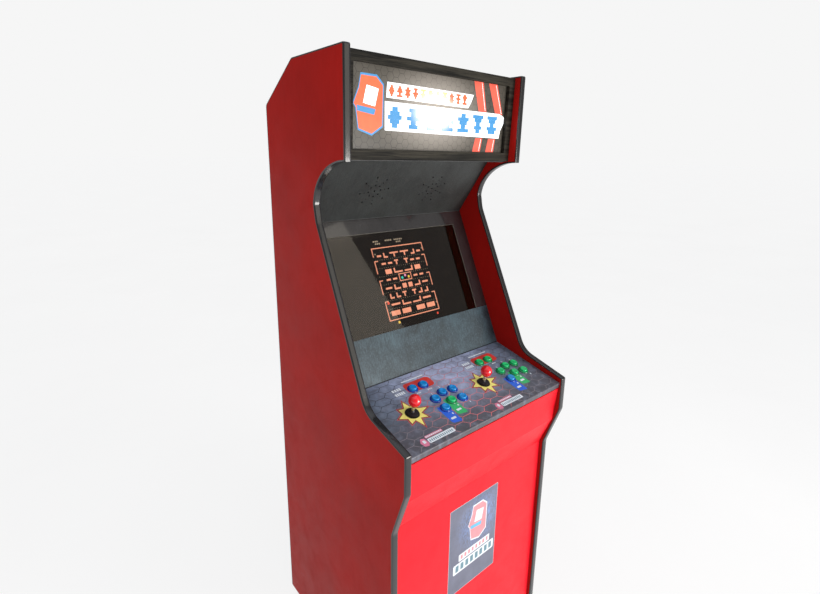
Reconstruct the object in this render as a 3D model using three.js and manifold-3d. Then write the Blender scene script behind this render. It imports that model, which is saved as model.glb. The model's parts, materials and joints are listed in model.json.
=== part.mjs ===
// Upright two-player arcade cabinet: MDF carcass between two shaped side panels, with a lit
// header box, raked screen, sloping control deck, hinged service door and levelling feet.
// Millimetres, +X to the right seen from the front, front faces -Y, +Z up, origin on the floor
// under the middle of the cabinet.
import * as THREE from 'three';
import { mergeVertices } from 'three/addons/utils/BufferGeometryUtils.js';
import Module from 'manifold-3d';

const wasm = await Module();
wasm.setup();

// ---- driving dimensions -------------------------------------------------------------------
const WIDTH = 654; // over the side panels
const DEPTH = 652; // over the edge trim, front nose to rear edge
const BOARD = 18; // side panels and carcass boards
const THIN_BOARD = 12; // header, baffle and bezel boards
const GAP = 0.3; // clearance between neighbouring pieces
const FLOOR_TO_PANEL = 30; // lower edge of the side panels
const NOSE_HEIGHT = 915; // upper front corner of the side panels
const HALF = WIDTH / 2;
const INNER = HALF - BOARD; // inner face of a side panel
const SPAN = INNER - GAP; // half length of every cross board
const TRIM = 3.2; // crown thickness of the edge trim
const SPINE = 7.5; // barbed spine of the trim, pressed in a slot
const FOOT_BOTTOM = FLOOR_TO_PANEL - NOSE_HEIGHT; // side-view height of the lower edge

// Side view, written as [back from the nose, up from the nose]; every shape below shares it.
const NOSE = new THREE.Vector2(-DEPTH / 2, NOSE_HEIGHT);
const DECK = { y: 7.9, z: -17.1, tilt: 12.5, length: 265.2 };
const SCREEN = { y: 266.8, z: 40.2, tilt: 64.9, length: 487.9 };
const BAFFLE = { y: 473.7, z: 482.1, tilt: 125.1, length: 212.4 };
const HEADER = { y: 265.7, z: 658.9, tilt: 92.5, length: 249.5 };
const ROOF = { z: 909, front: 268, crease: 478.7 };
const REAR = { y: 643, top: 808.1 };
const KICK = { y: 62, top: -246 };
const APRON = [[22.6, -147], [11, -36.7]];

// Controls, in deck coordinates: x from the middle, y up the deck, height from its surface.
const STICKS = [{ tag: 'p1', x: -200, y: 122 }, { tag: 'p2', x: 81, y: 122 }];
const ACTION = [[95, 14], [133, 27], [171, 24], [95, -28], [133, -12], [171, -18]];
const ADMIN = [[66, 80], [106, 80]];
const BUTTON = { rim: 16.6, bore: 12.1, barrel: 13.7, plunger: 11.7, hole: 14.5 };
const OVERLAY = 1.2;
const DECK_TOP = -OVERLAY - GAP; // upper face of the deck board
const DECK_UNDER = DECK_TOP - BOARD;
const PIVOT = -34; // joystick pivot below the deck surface
const BALL = { radius: 17.5, height: 42 };

const DOOR = { half: 249, bottom: -744, top: 544, gap: 1 };
const HINGE = { x: -249.5, y: 646.8, radius: 3.3, pin: 1.6, knuckles: 5, leaf: 27, plate: 1.5 };
const LOCK = { x: 222, z: -100, barrel: 9.2, head: 13 };
const INLET = { x: 200, z: -806, halfX: 23, halfZ: 39, flange: 2.5, depth: 25 };
const FOOT = { x: 285, front: 110, back: 590, stem: 5, pad: 22 };

// ---- colours ------------------------------------------------------------------------------
const material = (color, roughness, metalness = 0) =>
  new THREE.MeshStandardMaterial({ color, roughness, metalness });
const RED_PAINT = material(0x9c1f1b, 0.42);
const RED_FRONT = material(0xd81f26, 0.45);
const BLACK_TRIM = material(0x17171a, 0.35);
const BLACK_LAMINATE = material(0x25272b, 0.6);
const SLATE = material(0x3b4046, 0.55);
const RAW_BOARD = material(0x8f7354, 0.85);
const DECK_PRINT = material(0x4a5061, 0.4);
const GLASS = material(0x11120f, 0.06);
const PLASTIC_BLACK = material(0x141416, 0.45);
const PLASTIC_BLUE = material(0x0f5fc0, 0.25);
const PLASTIC_GREEN = material(0x0f9a4b, 0.25);
const PLASTIC_RED = material(0xd81417, 0.2);
const STEEL = material(0xb9bcc0, 0.3, 1);
const ZINC = material(0x9da2a6, 0.4, 1);
const OPAL = material(0xdfe3e8, 0.35);
const GREY_PAINT = material(0x6d7277, 0.5);

// ---- shape helpers ------------------------------------------------------------------------
const cabinet = new THREE.Group();
cabinet.name = 'arcade_cabinet';

function add(parent, name, geometry, look) {
  const mesh = new THREE.Mesh(geometry, look);
  mesh.name = name;
  parent.add(mesh);
  return mesh;
}

// A face of the cabinet as its own frame: x across, y up the face, z outwards.
function face(name, { y, z, tilt }) {
  const group = new THREE.Group();
  group.name = name;
  group.position.set(0, NOSE.x + y, NOSE.y + z);
  group.rotation.x = THREE.MathUtils.degToRad(tilt);
  cabinet.add(group);
  return group;
}

function solid(geometry) {
  const bare = geometry.clone();
  bare.deleteAttribute('normal');
  bare.deleteAttribute('uv');
  const welded = mergeVertices(bare, 1e-4);
  return new wasm.Manifold(new wasm.Mesh({
    numProp: 3,
    vertProperties: new Float32Array(welded.attributes.position.array),
    triVerts: new Uint32Array(welded.index.array),
  }));
}

function geometryOf(body) {
  const mesh = body.getMesh();
  const geometry = new THREE.BufferGeometry();
  geometry.setAttribute('position', new THREE.BufferAttribute(mesh.vertProperties, 3));
  geometry.setIndex(new THREE.BufferAttribute(mesh.triVerts, 1));
  geometry.computeVertexNormals();
  return geometry;
}

const join = (...pieces) => geometryOf(pieces.map(solid).reduce((a, b) => a.add(b)));
const cut = (base, ...tools) => geometryOf(
  tools.map(solid).reduce((body, tool) => body.subtract(tool), solid(base)),
);

function box(x0, x1, y0, y1, z0, z1) {
  const shape = new THREE.BoxGeometry(x1 - x0, y1 - y0, z1 - z0);
  return shape.translate((x0 + x1) / 2, (y0 + y1) / 2, (z0 + z1) / 2);
}

function flat(points) {
  return new THREE.Shape(points.map(([a, b]) => new THREE.Vector2(a, b)));
}

function circle(x, y, radius, sides) {
  const turn = (i) => ((i + 0.5) / sides) * 2 * Math.PI;
  return new THREE.Path(Array.from({ length: sides }, (_, i) => new THREE.Vector2(
    x + radius * Math.cos(turn(i)), y + radius * Math.sin(turn(i)),
  )));
}

// Plate lying in a face: outline and holes in x and y, between two levels of z.
function plate(outline, holes, z0, z1) {
  const shape = flat(outline);
  shape.holes = holes;
  return new THREE.ExtrudeGeometry(shape, { depth: z1 - z0, bevelEnabled: false })
    .translate(0, 0, z0);
}

const rectangle = (x0, x1, y0, y1) => [[x0, y0], [x1, y0], [x1, y1], [x0, y1]];
const rectangleHole = (x0, x1, y0, y1) => flat(rectangle(x0, x1, y0, y1));

// Side-view outline pushed out along x; bevel rounds both long edges.
function prism(points, x0, x1, bevel = 0) {
  const options = bevel
    ? { bevelEnabled: true, bevelSize: bevel, bevelThickness: bevel, bevelOffset: -bevel,
      bevelSegments: 1 }
    : { bevelEnabled: false };
  const shape = new THREE.ExtrudeGeometry(flat(points), { depth: x1 - x0 - 2 * bevel, ...options });
  const turn = new THREE.Matrix4().makeBasis(
    new THREE.Vector3(0, 1, 0), new THREE.Vector3(0, 0, 1), new THREE.Vector3(1, 0, 0),
  );
  return shape.applyMatrix4(turn).translate(x0 + bevel, NOSE.x, NOSE.y);
}

// Solid of revolution about z from [radius, height] pairs that start and end on the axis.
function turned(profile, sides) {
  const points = profile.map(([r, h]) => new THREE.Vector2(r, h));
  return new THREE.LatheGeometry(points, sides, Math.PI / sides).rotateX(Math.PI / 2);
}

function rod(from, to, radius, sides) {
  const start = new THREE.Vector3(...from);
  const way = new THREE.Vector3(...to).sub(start);
  const shape = new THREE.CylinderGeometry(radius, radius, way.length(), sides);
  shape.translate(0, way.length() / 2, 0);
  const turn = new THREE.Quaternion()
    .setFromUnitVectors(new THREE.Vector3(0, 1, 0), way.clone().normalize());
  return shape.applyQuaternion(turn).translate(...start.toArray());
}

// Corner list [y, z, radius] turned into a run of points with filleted corners.
function fillet(corners, steps = 3) {
  const run = [];
  corners.forEach(([y, z, radius = 0], i) => {
    const here = new THREE.Vector2(y, z);
    if (!radius) { run.push([y, z]); return; }
    const toward = (j) => new THREE.Vector2(corners[j][0], corners[j][1]).sub(here).normalize();
    const before = toward(i - 1);
    const after = toward(i + 1);
    const reach = radius / Math.tan(before.angleTo(after) / 2);
    const start = here.clone().addScaledVector(before, reach);
    const end = here.clone().addScaledVector(after, reach);
    const curve = new THREE.QuadraticBezierCurve(start, here, end);
    curve.getPoints(steps).forEach((p) => run.push([p.x, p.y]));
  });
  return run;
}

// Run of points moved sideways, towards the inside of the cabinet, with mitred corners.
function inset(run, distance) {
  return run.map(([y, z], i) => {
    const normals = [];
    if (i > 0) normals.push([z - run[i - 1][1], run[i - 1][0] - y]);
    if (i < run.length - 1) normals.push([run[i + 1][1] - z, y - run[i + 1][0]]);
    const units = normals.map(([a, b]) => new THREE.Vector2(a, b).normalize());
    const middle = units.reduce((a, b) => a.clone().add(b)).normalize();
    const reach = distance / middle.dot(units[0]);
    return [y + middle.x * reach, z + middle.y * reach];
  });
}

const band = (run, near, far) => [...inset(run, near), ...inset(run, far).reverse()];

// ---- side panels and their edge trim --------------------------------------------------------
const HOLLOW = { y: 234, z: 539, deep: 152, high: 116 }; // rounded cut under the header
const hollowCurve = Array.from({ length: 9 }, (_, i) => {
  const turn = (i / 8) * (Math.PI / 2);
  return [HOLLOW.y + HOLLOW.deep * Math.cos(turn), HOLLOW.z + HOLLOW.high * Math.sin(turn)];
});
const silhouette = (bottom) => fillet([
  [48, bottom],
  [48, -245, 40],
  [0, -107, 30],
  [0, 0, 6],
  [160, 43, 75],
  [345, 431],
  [374, 491],
  ...hollowCurve,
  [230, 914, 5],
  [482, 914, 14],
  [DEPTH, 809, 14],
  [DEPTH, bottom],
]);
const edge = silhouette(FOOT_BOTTOM);
const longEdge = silhouette(FOOT_BOTTOM - BOARD);

for (const [side, middle] of [['left', -HALF + BOARD / 2], ['right', HALF - BOARD / 2]]) {
  const x0 = middle - BOARD / 2;
  const x1 = middle + BOARD / 2;
  const crown = prism(band(edge, 0, TRIM), x0, x1, 1.2);
  const spine = prism(band(edge, TRIM - 1, TRIM + SPINE), middle - 0.8, middle + 0.8);
  const slot = prism(band(longEdge, TRIM, TRIM + SPINE + GAP), middle - 1.1, middle + 1.1);
  const panel = prism(inset(edge, TRIM + GAP), x0, x1);
  add(cabinet, `side_panel_${side}`, cut(panel, slot), RED_PAINT);
  add(cabinet, `edge_trim_${side}`, join(crown, spine), BLACK_TRIM);
}

// ---- carcass boards -------------------------------------------------------------------------
const footPositions = [-FOOT.x, FOOT.x].flatMap((x) => [FOOT.front, FOOT.back].map((y) => [x, y]));
const FLOOR_BOARD = { top: FOOT_BOTTOM + BOARD, front: KICK.y + BOARD + GAP, back: REAR.y - BOARD - GAP };
const floorHoles = footPositions.map(([x, y]) => circle(x, y, FOOT.stem + 0.6, 8));
const floorOutline = rectangle(-SPAN, SPAN, FLOOR_BOARD.front, FLOOR_BOARD.back);
const floorBoard = plate(floorOutline, floorHoles, FOOT_BOTTOM, FLOOR_BOARD.top)
  .translate(0, NOSE.x, NOSE.y);
add(cabinet, 'base_board', floorBoard, RAW_BOARD);

const onFloor = FLOOR_BOARD.top + GAP;
const kickRun = [[KICK.y, FOOT_BOTTOM], [KICK.y, KICK.top], ...APRON];
const kickInner = inset(kickRun, BOARD);
const kick = [kickRun[0], [KICK.y, KICK.top - GAP],
  [kickInner[1][0], kickInner[1][1] - GAP], kickInner[0]];
add(cabinet, 'kick_panel', prism(kick, -SPAN, SPAN), RED_FRONT);
const apron = [...kickRun.slice(1), ...kickInner.slice(1).reverse()];
add(cabinet, 'apron_panel', prism(apron, -SPAN, SPAN), RED_FRONT);

const roofRun = [[ROOF.front, ROOF.z], [ROOF.crease, ROOF.z], [REAR.y, REAR.top],
  [REAR.y, FOOT_BOTTOM]];
const roofInner = inset(roofRun, BOARD);
const roof = [roofRun[0], [ROOF.crease - GAP, ROOF.z],
  [roofInner[1][0] - GAP, roofInner[1][1]], roofInner[0]];
add(cabinet, 'roof_panel', prism(roof, -SPAN, SPAN), BLACK_LAMINATE);
const slope = [roofRun[1], roofRun[2], roofInner[2], roofInner[1]];
add(cabinet, 'rear_slope_panel', prism(slope, -SPAN, SPAN), BLACK_LAMINATE);

const rearWall = [[REAR.y, REAR.top - GAP], roofRun[3], roofInner[3],
  [roofInner[2][0], roofInner[2][1] - GAP]];
const inWall = (x0, x1, z0, z1) =>
  box(x0, x1, REAR.y - BOARD - 1, REAR.y + 1, z0, z1).translate(0, NOSE.x, NOSE.y);
const doorway = inWall(-DOOR.half - DOOR.gap, DOOR.half + DOOR.gap,
  DOOR.bottom - DOOR.gap, DOOR.top + DOOR.gap);
const socket = inWall(INLET.x - INLET.halfX - GAP, INLET.x + INLET.halfX + GAP,
  INLET.z - INLET.halfZ - GAP, INLET.z + INLET.halfZ + GAP);
add(cabinet, 'rear_frame_panel', cut(prism(rearWall, -SPAN, SPAN), doorway, socket),
  BLACK_LAMINATE);

const soffitTop = HEADER.z + THIN_BOARD - 2;
const soffit = [[279, HEADER.z - 2], [351, HEADER.z - 2], [351, soffitTop], [279, soffitTop]];
add(cabinet, 'soffit_board', prism(soffit, -SPAN, SPAN), BLACK_LAMINATE);

// ---- header box -----------------------------------------------------------------------------
const header = face('header', HEADER);
const SIGN = { half: 284, bottom: 26, top: 225 };
add(header, 'marquee_frame', plate(
  rectangle(-SPAN, SPAN, 0, HEADER.length),
  [rectangleHole(-SIGN.half, SIGN.half, SIGN.bottom, SIGN.top)], -THIN_BOARD, 0,
), BLACK_LAMINATE);
add(header, 'marquee_panel', box(
  -SIGN.half - 8, SIGN.half + 8, SIGN.bottom - 8, SIGN.top + 4,
  -THIN_BOARD - GAP - 3, -THIN_BOARD - GAP,
), OPAL);
const lampSeat = soffitTop + GAP;
const lamp = join(
  box(-260, 260, 302, 342, lampSeat, lampSeat + 18),
  box(-256, -244, 314, 330, lampSeat + 10, lampSeat + 44),
  box(244, 256, 314, 330, lampSeat + 10, lampSeat + 44),
  rod([-250, 322, lampSeat + 34], [250, 322, lampSeat + 34], 8, 8),
).translate(0, NOSE.x, NOSE.y);
add(cabinet, 'marquee_lamp', lamp, OPAL);

// ---- loudspeaker baffle ---------------------------------------------------------------------
const baffle = face('baffle', BAFFLE);
const SPEAKER = { x: 114, y: 111, rays: 8, flange: 55 };
const RINGS = [{ radius: 21, hole: 2.7 }, { radius: 35, hole: 1.7 }, { radius: 49, hole: 2.7 }];
const FIRST_RAY = { left: 9.5, right: 23.5 }; // degrees; the two drilled stars are not alike
const star = (x, firstRay) => RINGS.flatMap(({ radius, hole }) =>
  Array.from({ length: SPEAKER.rays }, (_, i) => {
    const turn = THREE.MathUtils.degToRad(firstRay) + (i / SPEAKER.rays) * 2 * Math.PI;
    return circle(x + radius * Math.cos(turn), SPEAKER.y + radius * Math.sin(turn), hole, 5);
  }));
const grille = [[-SPEAKER.x, FIRST_RAY.left], [SPEAKER.x, FIRST_RAY.right]].flatMap(
  ([x, firstRay]) => [circle(x, SPEAKER.y, RINGS[0].hole, 5), ...star(x, firstRay)],
);
add(baffle, 'speaker_panel', plate(
  rectangle(-SPAN, SPAN, 0.5, BAFFLE.length - 0.5), grille, -THIN_BOARD, 0,
), BLACK_LAMINATE);
const speakerProfile = [[0, -42], [24, -42], [24, -26], [30, -26], [47, -3], [SPEAKER.flange, -3],
  [SPEAKER.flange, 0], [50, 0], [15, -13], [0, -13]];
for (const [side, x] of [['left', -SPEAKER.x], ['right', SPEAKER.x]]) {
  add(baffle, `speaker_${side}`, turned(speakerProfile, 12), PLASTIC_BLACK)
    .position.set(x, SPEAKER.y, -THIN_BOARD - GAP);
}

// ---- screen ---------------------------------------------------------------------------------
const screen = face('screen', SCREEN);
const WINDOW = { half: 256, bottom: 134, top: 440 };
const SHADOW_LINE = 3; // open joint between deck and bezel
add(screen, 'bezel_board', plate(
  rectangle(-SPAN, SPAN, SHADOW_LINE, SCREEN.length - 0.5),
  [rectangleHole(-WINDOW.half, WINDOW.half, WINDOW.bottom, WINDOW.top)], -THIN_BOARD, 0,
), SLATE);
add(screen, 'screen_glass', box(
  -WINDOW.half + GAP, WINDOW.half - GAP, WINDOW.bottom + GAP, WINDOW.top - GAP, -4, -1,
), GLASS);
const MONITOR = { half: 279, bottom: 118, top: 456, front: -THIN_BOARD - GAP, back: -34 };
add(screen, 'monitor_panel', box(
  -MONITOR.half, MONITOR.half, MONITOR.bottom, MONITOR.top, MONITOR.back, MONITOR.front,
), PLASTIC_BLACK);
const monitorMiddle = (MONITOR.bottom + MONITOR.top) / 2;
add(screen, 'monitor_mount', join(
  box(-SPAN, SPAN, monitorMiddle - 50, monitorMiddle + 50, -66, -48),
  box(-60, 60, monitorMiddle - 60, monitorMiddle + 60, -50, MONITOR.back - GAP),
), RAW_BOARD);

// ---- control deck ---------------------------------------------------------------------------
const deck = face('deck', DECK);
const buttonsOf = (stick) => [
  ...ADMIN.map(([dx, dy], i) => ({ name: `${stick.tag}_admin_button_${i + 1}`, dx, dy })),
  ...ACTION.map(([dx, dy], i) => ({ name: `${stick.tag}_action_button_${i + 1}`, dx, dy })),
].map((b) => ({ ...b, x: stick.x + b.dx, y: stick.y + b.dy }));
const holes = () => STICKS.flatMap((stick) => [
  circle(stick.x, stick.y, 12, 12),
  ...buttonsOf(stick).map(({ x, y }) => circle(x, y, BUTTON.hole, 10)),
]);
const EDGE_WRAP = OVERLAY + GAP; // deck board stops short of the wrapped front
add(deck, 'control_panel_board', plate(
  rectangle(-SPAN, SPAN, EDGE_WRAP, DECK.length), holes(), DECK_UNDER, DECK_TOP,
), RAW_BOARD);
add(deck, 'control_panel_overlay', join(
  plate(rectangle(-SPAN, SPAN, 0.6, DECK.length), holes(), -OVERLAY, 0),
  box(-SPAN, SPAN, 0, OVERLAY, -17, -0.6),
), DECK_PRINT);

// Button: rim, threaded barrel, nut under the board and micro switch; all in one fixed bank
// per player, strung together by the common ground wire.
const housingProfile = [[0, -33], [BUTTON.barrel, -33], [BUTTON.barrel, -26.1], [17.5, -26.1],
  [17.5, DECK_UNDER - GAP], [BUTTON.barrel, DECK_UNDER - GAP], [BUTTON.barrel, GAP],
  [BUTTON.rim, GAP], [BUTTON.rim, 2.2], [14.8, 4], [BUTTON.bore, 4], [BUTTON.bore, -30], [0, -30]];
const plungerProfile = [[0, -24], [3, -24], [3, -12], [BUTTON.plunger, -12],
  [BUTTON.plunger, 7.6], [9.6, 9.4], [0, 8.6]];
const WIRE_ORDER = [0, 1, 3, 2, 5, 6, 7, 4];
const LOOKS = { p1: PLASTIC_BLUE, p2: PLASTIC_GREEN };
for (const stick of STICKS) {
  const buttons = buttonsOf(stick);
  const housings = buttons.flatMap(({ x, y }) => [
    turned(housingProfile, 10).translate(x, y, 0),
    box(x - 3.2, x + 3.2, y - 10, y + 10, -52, -32),
  ]);
  const wires = WIRE_ORDER.slice(1).map((n, i) => {
    const [a, b] = [buttons[WIRE_ORDER[i]], buttons[n]];
    return rod([a.x, a.y, -48], [b.x, b.y, -48], 1, 4);
  });
  add(deck, `${stick.tag}_button_bank`, join(...housings, ...wires), LOOKS[stick.tag]);
  buttons.forEach(({ name, x, y }, i) => {
    const swap = (stick.tag === 'p1' && i === 6) ? PLASTIC_GREEN : null;
    const look = swap ?? ((stick.tag === 'p2' && i === 5) ? PLASTIC_BLUE : LOOKS[stick.tag]);
    add(deck, name, turned(plungerProfile, 10), look).position.set(x, y, 0);
  });
}

// Joystick: base plate and housing under the board, gimbal ring turning about x, shaft with its
// dust washer turning about y inside the ring, ball on top. Drawn about the pivot.
const RING = { inner: 12, outer: 16.5, half: 3 };
const WALL = { inner: 19.5, outer: 24 };
const TRUNNION = 2;
const under = DECK_UNDER - GAP - PIVOT; // underside of the deck above the pivot
const stickBase = () => {
  const shell = cut(
    join(box(-48, 48, -27, 27, under - 2.5, under),
      box(-WALL.outer, WALL.outer, -WALL.outer, WALL.outer, -14, under - 1)),
    box(-WALL.inner, WALL.inner, -WALL.inner, WALL.inner, -15, under - 5),
    turned([[0, under - 8], [15, under - 8], [15, under + 1], [0, under + 1]], 12),
    rod([-30, 0, 0], [30, 0, 0], TRUNNION + GAP, 8),
  );
  const switches = [0, 1, 2, 3].map((i) => box(12.5, 22, -10, 10, -28, -12)
    .rotateZ(i * Math.PI / 2));
  return join(shell, ...switches);
};
const ring = () => cut(
  join(
    turned([[0, -RING.half], [RING.outer, -RING.half], [RING.outer, RING.half], [0, RING.half]], 12),
    rod([-WALL.outer + 1, 0, 0], [WALL.outer - 1, 0, 0], TRUNNION, 8),
  ),
  turned([[0, -4], [RING.inner, -4], [RING.inner, 4], [0, 4]], 12),
  rod([0, -20, 0], [0, 20, 0], TRUNNION + GAP, 8),
);
const WASHER = { radius: 18, rise: 3.7 }; // clears the deck at full diagonal tilt
const surface = -PIVOT; // deck surface above the pivot
const shaftProfile = [[0, -27], [7, -27], [7, -18], [4, -14], [4, -5], [7, -4], [7, 4], [4.8, 6],
  [4.8, surface + WASHER.rise], [WASHER.radius, surface + WASHER.rise],
  [WASHER.radius, surface + WASHER.rise + 1], [5, surface + WASHER.rise + 2.4],
  [4.6, surface + 30], [0, surface + 30]];
const shaft = () => join(
  turned(shaftProfile, 12),
  rod([0, -RING.outer + 0.5, 0], [0, RING.outer - 0.5, 0], TRUNNION, 8),
);
const ballProfile = Array.from({ length: 11 }, (_, i) => {
  const turn = -Math.PI / 2 + (i / 10) * Math.PI;
  const ends = i === 0 || i === 10;
  return [ends ? 0 : BALL.radius * Math.cos(turn), BALL.radius * Math.sin(turn)];
});
const SOCKET = 5.1;
const ball = () => cut(turned(ballProfile, 14),
  rod([0, 0, -BALL.radius - 1], [0, 0, -BALL.height + 30 + GAP], SOCKET, 10));
for (const { tag, x, y } of STICKS) {
  add(deck, `${tag}_joystick_base`, stickBase(), ZINC).position.set(x, y, PIVOT);
  add(deck, `${tag}_joystick_gimbal`, ring(), ZINC).position.set(x, y, PIVOT);
  add(deck, `${tag}_joystick_shaft`, shaft(), STEEL).position.set(x, y, PIVOT);
  add(deck, `${tag}_joystick_ball`, ball(), PLASTIC_RED).position.set(x, y, BALL.height);
}

// ---- service door in the rear wall ------------------------------------------------------------
const rear = new THREE.Group();
rear.name = 'rear';
rear.position.set(0, NOSE.x, NOSE.y);
cabinet.add(rear);

const vents = [0, 1, 2, 3, 4].map((i) =>
  box(-90, 90, REAR.y - BOARD - 1, REAR.y + 1, 380 + i * 24, 388 + i * 24));
const lockHole = rod([LOCK.x, REAR.y - BOARD - 1, LOCK.z], [LOCK.x, REAR.y + 1, LOCK.z],
  LOCK.barrel + 0.6, 12);
add(rear, 'rear_door', cut(
  box(-DOOR.half, DOOR.half, REAR.y - BOARD, REAR.y, DOOR.bottom, DOOR.top), ...vents, lockHole,
), BLACK_LAMINATE);

// Piano hinge: leaves on both boards, alternate knuckles round one pin.
const knuckleLength = (DOOR.top - DOOR.bottom) / HINGE.knuckles;
const leafFace = REAR.y + GAP;
const hingeLeaf = (side, own) => {
  const near = HINGE.x + side * 4;
  const far = HINGE.x + side * (4 + HINGE.leaf);
  const plateBox = box(Math.min(near, far), Math.max(near, far),
    leafFace, leafFace + HINGE.plate, DOOR.bottom, DOOR.top);
  const pieces = own.flatMap((n) => {
    const bottom = DOOR.bottom + n * knuckleLength + GAP;
    const top = bottom + knuckleLength - 2 * GAP;
    const tab = HINGE.x + side * 1;
    return [
      rod([HINGE.x, HINGE.y, bottom], [HINGE.x, HINGE.y, top], HINGE.radius, 10),
      box(Math.min(near + side, tab), Math.max(near + side, tab),
        leafFace, leafFace + HINGE.plate, bottom, top),
    ];
  });
  return join(plateBox, ...pieces);
};
const pinReach = [[HINGE.x, HINGE.y, DOOR.bottom], [HINGE.x, HINGE.y, DOOR.top]];
add(rear, 'hinge_fixed_leaf', join(
  hingeLeaf(-1, [0, 2, 4]), rod(...pinReach, HINGE.pin, 8),
), STEEL);
add(rear, 'hinge_door_leaf', cut(
  hingeLeaf(1, [1, 3]), rod(...pinReach, HINGE.pin + GAP, 8),
), STEEL);

// Cam lock: head outside, barrel through the door, cam inside standing clear of the frame.
const lockBody = join(
  rod([0, leafFace, 0], [0, leafFace + 3, 0], LOCK.head, 14),
  rod([0, REAR.y - 34, 0], [0, leafFace + 1, 0], LOCK.barrel, 12),
  box(-6, 6, REAR.y - 34, REAR.y - 31, -8, 42),
);
const keyway = box(-1, 1, leafFace + 1.5, leafFace + 4, -4.5, 4.5);
add(rear, 'door_lock', cut(lockBody, keyway), STEEL).position.set(LOCK.x, 0, LOCK.z);

// ---- mains inlet and power switch ---------------------------------------------------------------
const inletFace = leafFace + INLET.flange;
const ROCKER = { z: 19, halfX: 10.2, halfZ: 12.5, well: 10.7, wellZ: 15, depth: 13 };
const PINS = [[-7, -1], [7, -1], [0, 3]];
const inletBody = join(
  box(-INLET.halfX - 5, INLET.halfX + 5, leafFace, inletFace, -INLET.halfZ - 5, INLET.halfZ + 5),
  box(-INLET.halfX, INLET.halfX, inletFace - INLET.depth, inletFace - 1,
    -INLET.halfZ, INLET.halfZ),
);
const inletHollow = cut(
  inletBody,
  box(-13, 13, inletFace - 17, inletFace + 1, -27, -7),
  box(-ROCKER.well, ROCKER.well, inletFace - ROCKER.depth, inletFace + 1,
    ROCKER.z - ROCKER.wellZ, ROCKER.z + ROCKER.wellZ),
  rod([-12.4, inletFace - 1, ROCKER.z], [12.4, inletFace - 1, ROCKER.z], 1.8, 8),
);
const contacts = PINS.map(([x, z]) =>
  box(x - 1, x + 1, inletFace - 18, inletFace - 7, z - 19, z - 15));
add(rear, 'power_inlet', join(inletHollow, ...contacts), PLASTIC_BLACK)
  .position.set(INLET.x, 0, INLET.z);

const rockerOutline = [[-6, -12.5], [3.5, -12.5], [1.5, 0], [3.5, 12.5], [-6, 12.5]];
const rockerBlock = prism(rockerOutline, -ROCKER.halfX, ROCKER.halfX)
  .translate(0, -NOSE.x, -NOSE.y);
const rocker = join(rockerBlock, rod([-11.8, 0, 0], [11.8, 0, 0], 1.5, 8));
const switchMesh = add(rear, 'power_switch', rocker, PLASTIC_RED);
switchMesh.position.set(INLET.x, inletFace - 1, INLET.z + ROCKER.z);
switchMesh.rotation.x = THREE.MathUtils.degToRad(10);

// ---- levelling feet and the game computer -------------------------------------------------------
const footProfile = [[0, 0], [FOOT.pad, 0], [FOOT.pad, 5], [8, 10], [FOOT.stem, 10],
  [FOOT.stem, 21], [9, 21], [9, FLOOR_TO_PANEL - GAP], [FOOT.stem, FLOOR_TO_PANEL - GAP],
  [FOOT.stem, 58], [0, 58]];
footPositions.forEach(([x, y], i) => {
  const name = `foot_${y === FOOT.front ? 'front' : 'rear'}_${i < 2 ? 'left' : 'right'}`;
  add(cabinet, name, turned(footProfile, 8), ZINC).position.set(x, NOSE.x + y, 0);
});

const COMPUTER = { half: 90, front: 150, back: 540, height: 380, sheet: 1.5 };
const inner = COMPUTER.sheet;
const tower = cut(
  box(-COMPUTER.half, COMPUTER.half, COMPUTER.front, COMPUTER.back, 0, COMPUTER.height),
  box(-COMPUTER.half + inner, COMPUTER.half - inner, COMPUTER.front + inner,
    COMPUTER.back - inner, inner, COMPUTER.height - inner),
  box(-70, -20, COMPUTER.back - 5, COMPUTER.back + 1, 200, 350),
  box(0, 70, COMPUTER.back - 5, COMPUTER.back + 1, 280, 350),
);
add(rear, 'computer_case', tower, GREY_PAINT).position.set(0, 0, onFloor);

export default cabinet;
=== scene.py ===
import json
import math
import random

import bmesh
import bpy
from mathutils import Matrix, Vector


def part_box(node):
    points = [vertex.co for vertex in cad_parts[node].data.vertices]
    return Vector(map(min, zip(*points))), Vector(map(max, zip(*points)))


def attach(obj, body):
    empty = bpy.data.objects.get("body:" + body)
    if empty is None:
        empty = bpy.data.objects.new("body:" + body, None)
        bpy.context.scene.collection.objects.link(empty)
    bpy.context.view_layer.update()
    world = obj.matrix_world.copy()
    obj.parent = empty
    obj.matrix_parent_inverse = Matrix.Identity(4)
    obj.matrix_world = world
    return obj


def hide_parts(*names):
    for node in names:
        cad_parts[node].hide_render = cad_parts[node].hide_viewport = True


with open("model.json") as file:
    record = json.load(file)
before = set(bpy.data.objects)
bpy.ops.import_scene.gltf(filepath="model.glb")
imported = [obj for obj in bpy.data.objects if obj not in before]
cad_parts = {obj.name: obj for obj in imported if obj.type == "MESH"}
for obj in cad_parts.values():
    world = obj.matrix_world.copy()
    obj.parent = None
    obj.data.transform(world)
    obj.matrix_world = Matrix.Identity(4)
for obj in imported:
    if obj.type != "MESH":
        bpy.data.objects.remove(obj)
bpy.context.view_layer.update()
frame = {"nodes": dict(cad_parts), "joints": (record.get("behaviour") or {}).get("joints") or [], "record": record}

scene = bpy.context.scene
MM = 0.001


# ---- camera ----
SENSOR, LENS = 36, 20.776  # mm
SHIFT = -0.0053, -0.0324
EYE = (-0.9352, -1.055, 1.582)
YAW, PITCH, ROLL = 40.646, -13.420, 0.872  # degrees: turned right, tipped, leaning


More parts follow.
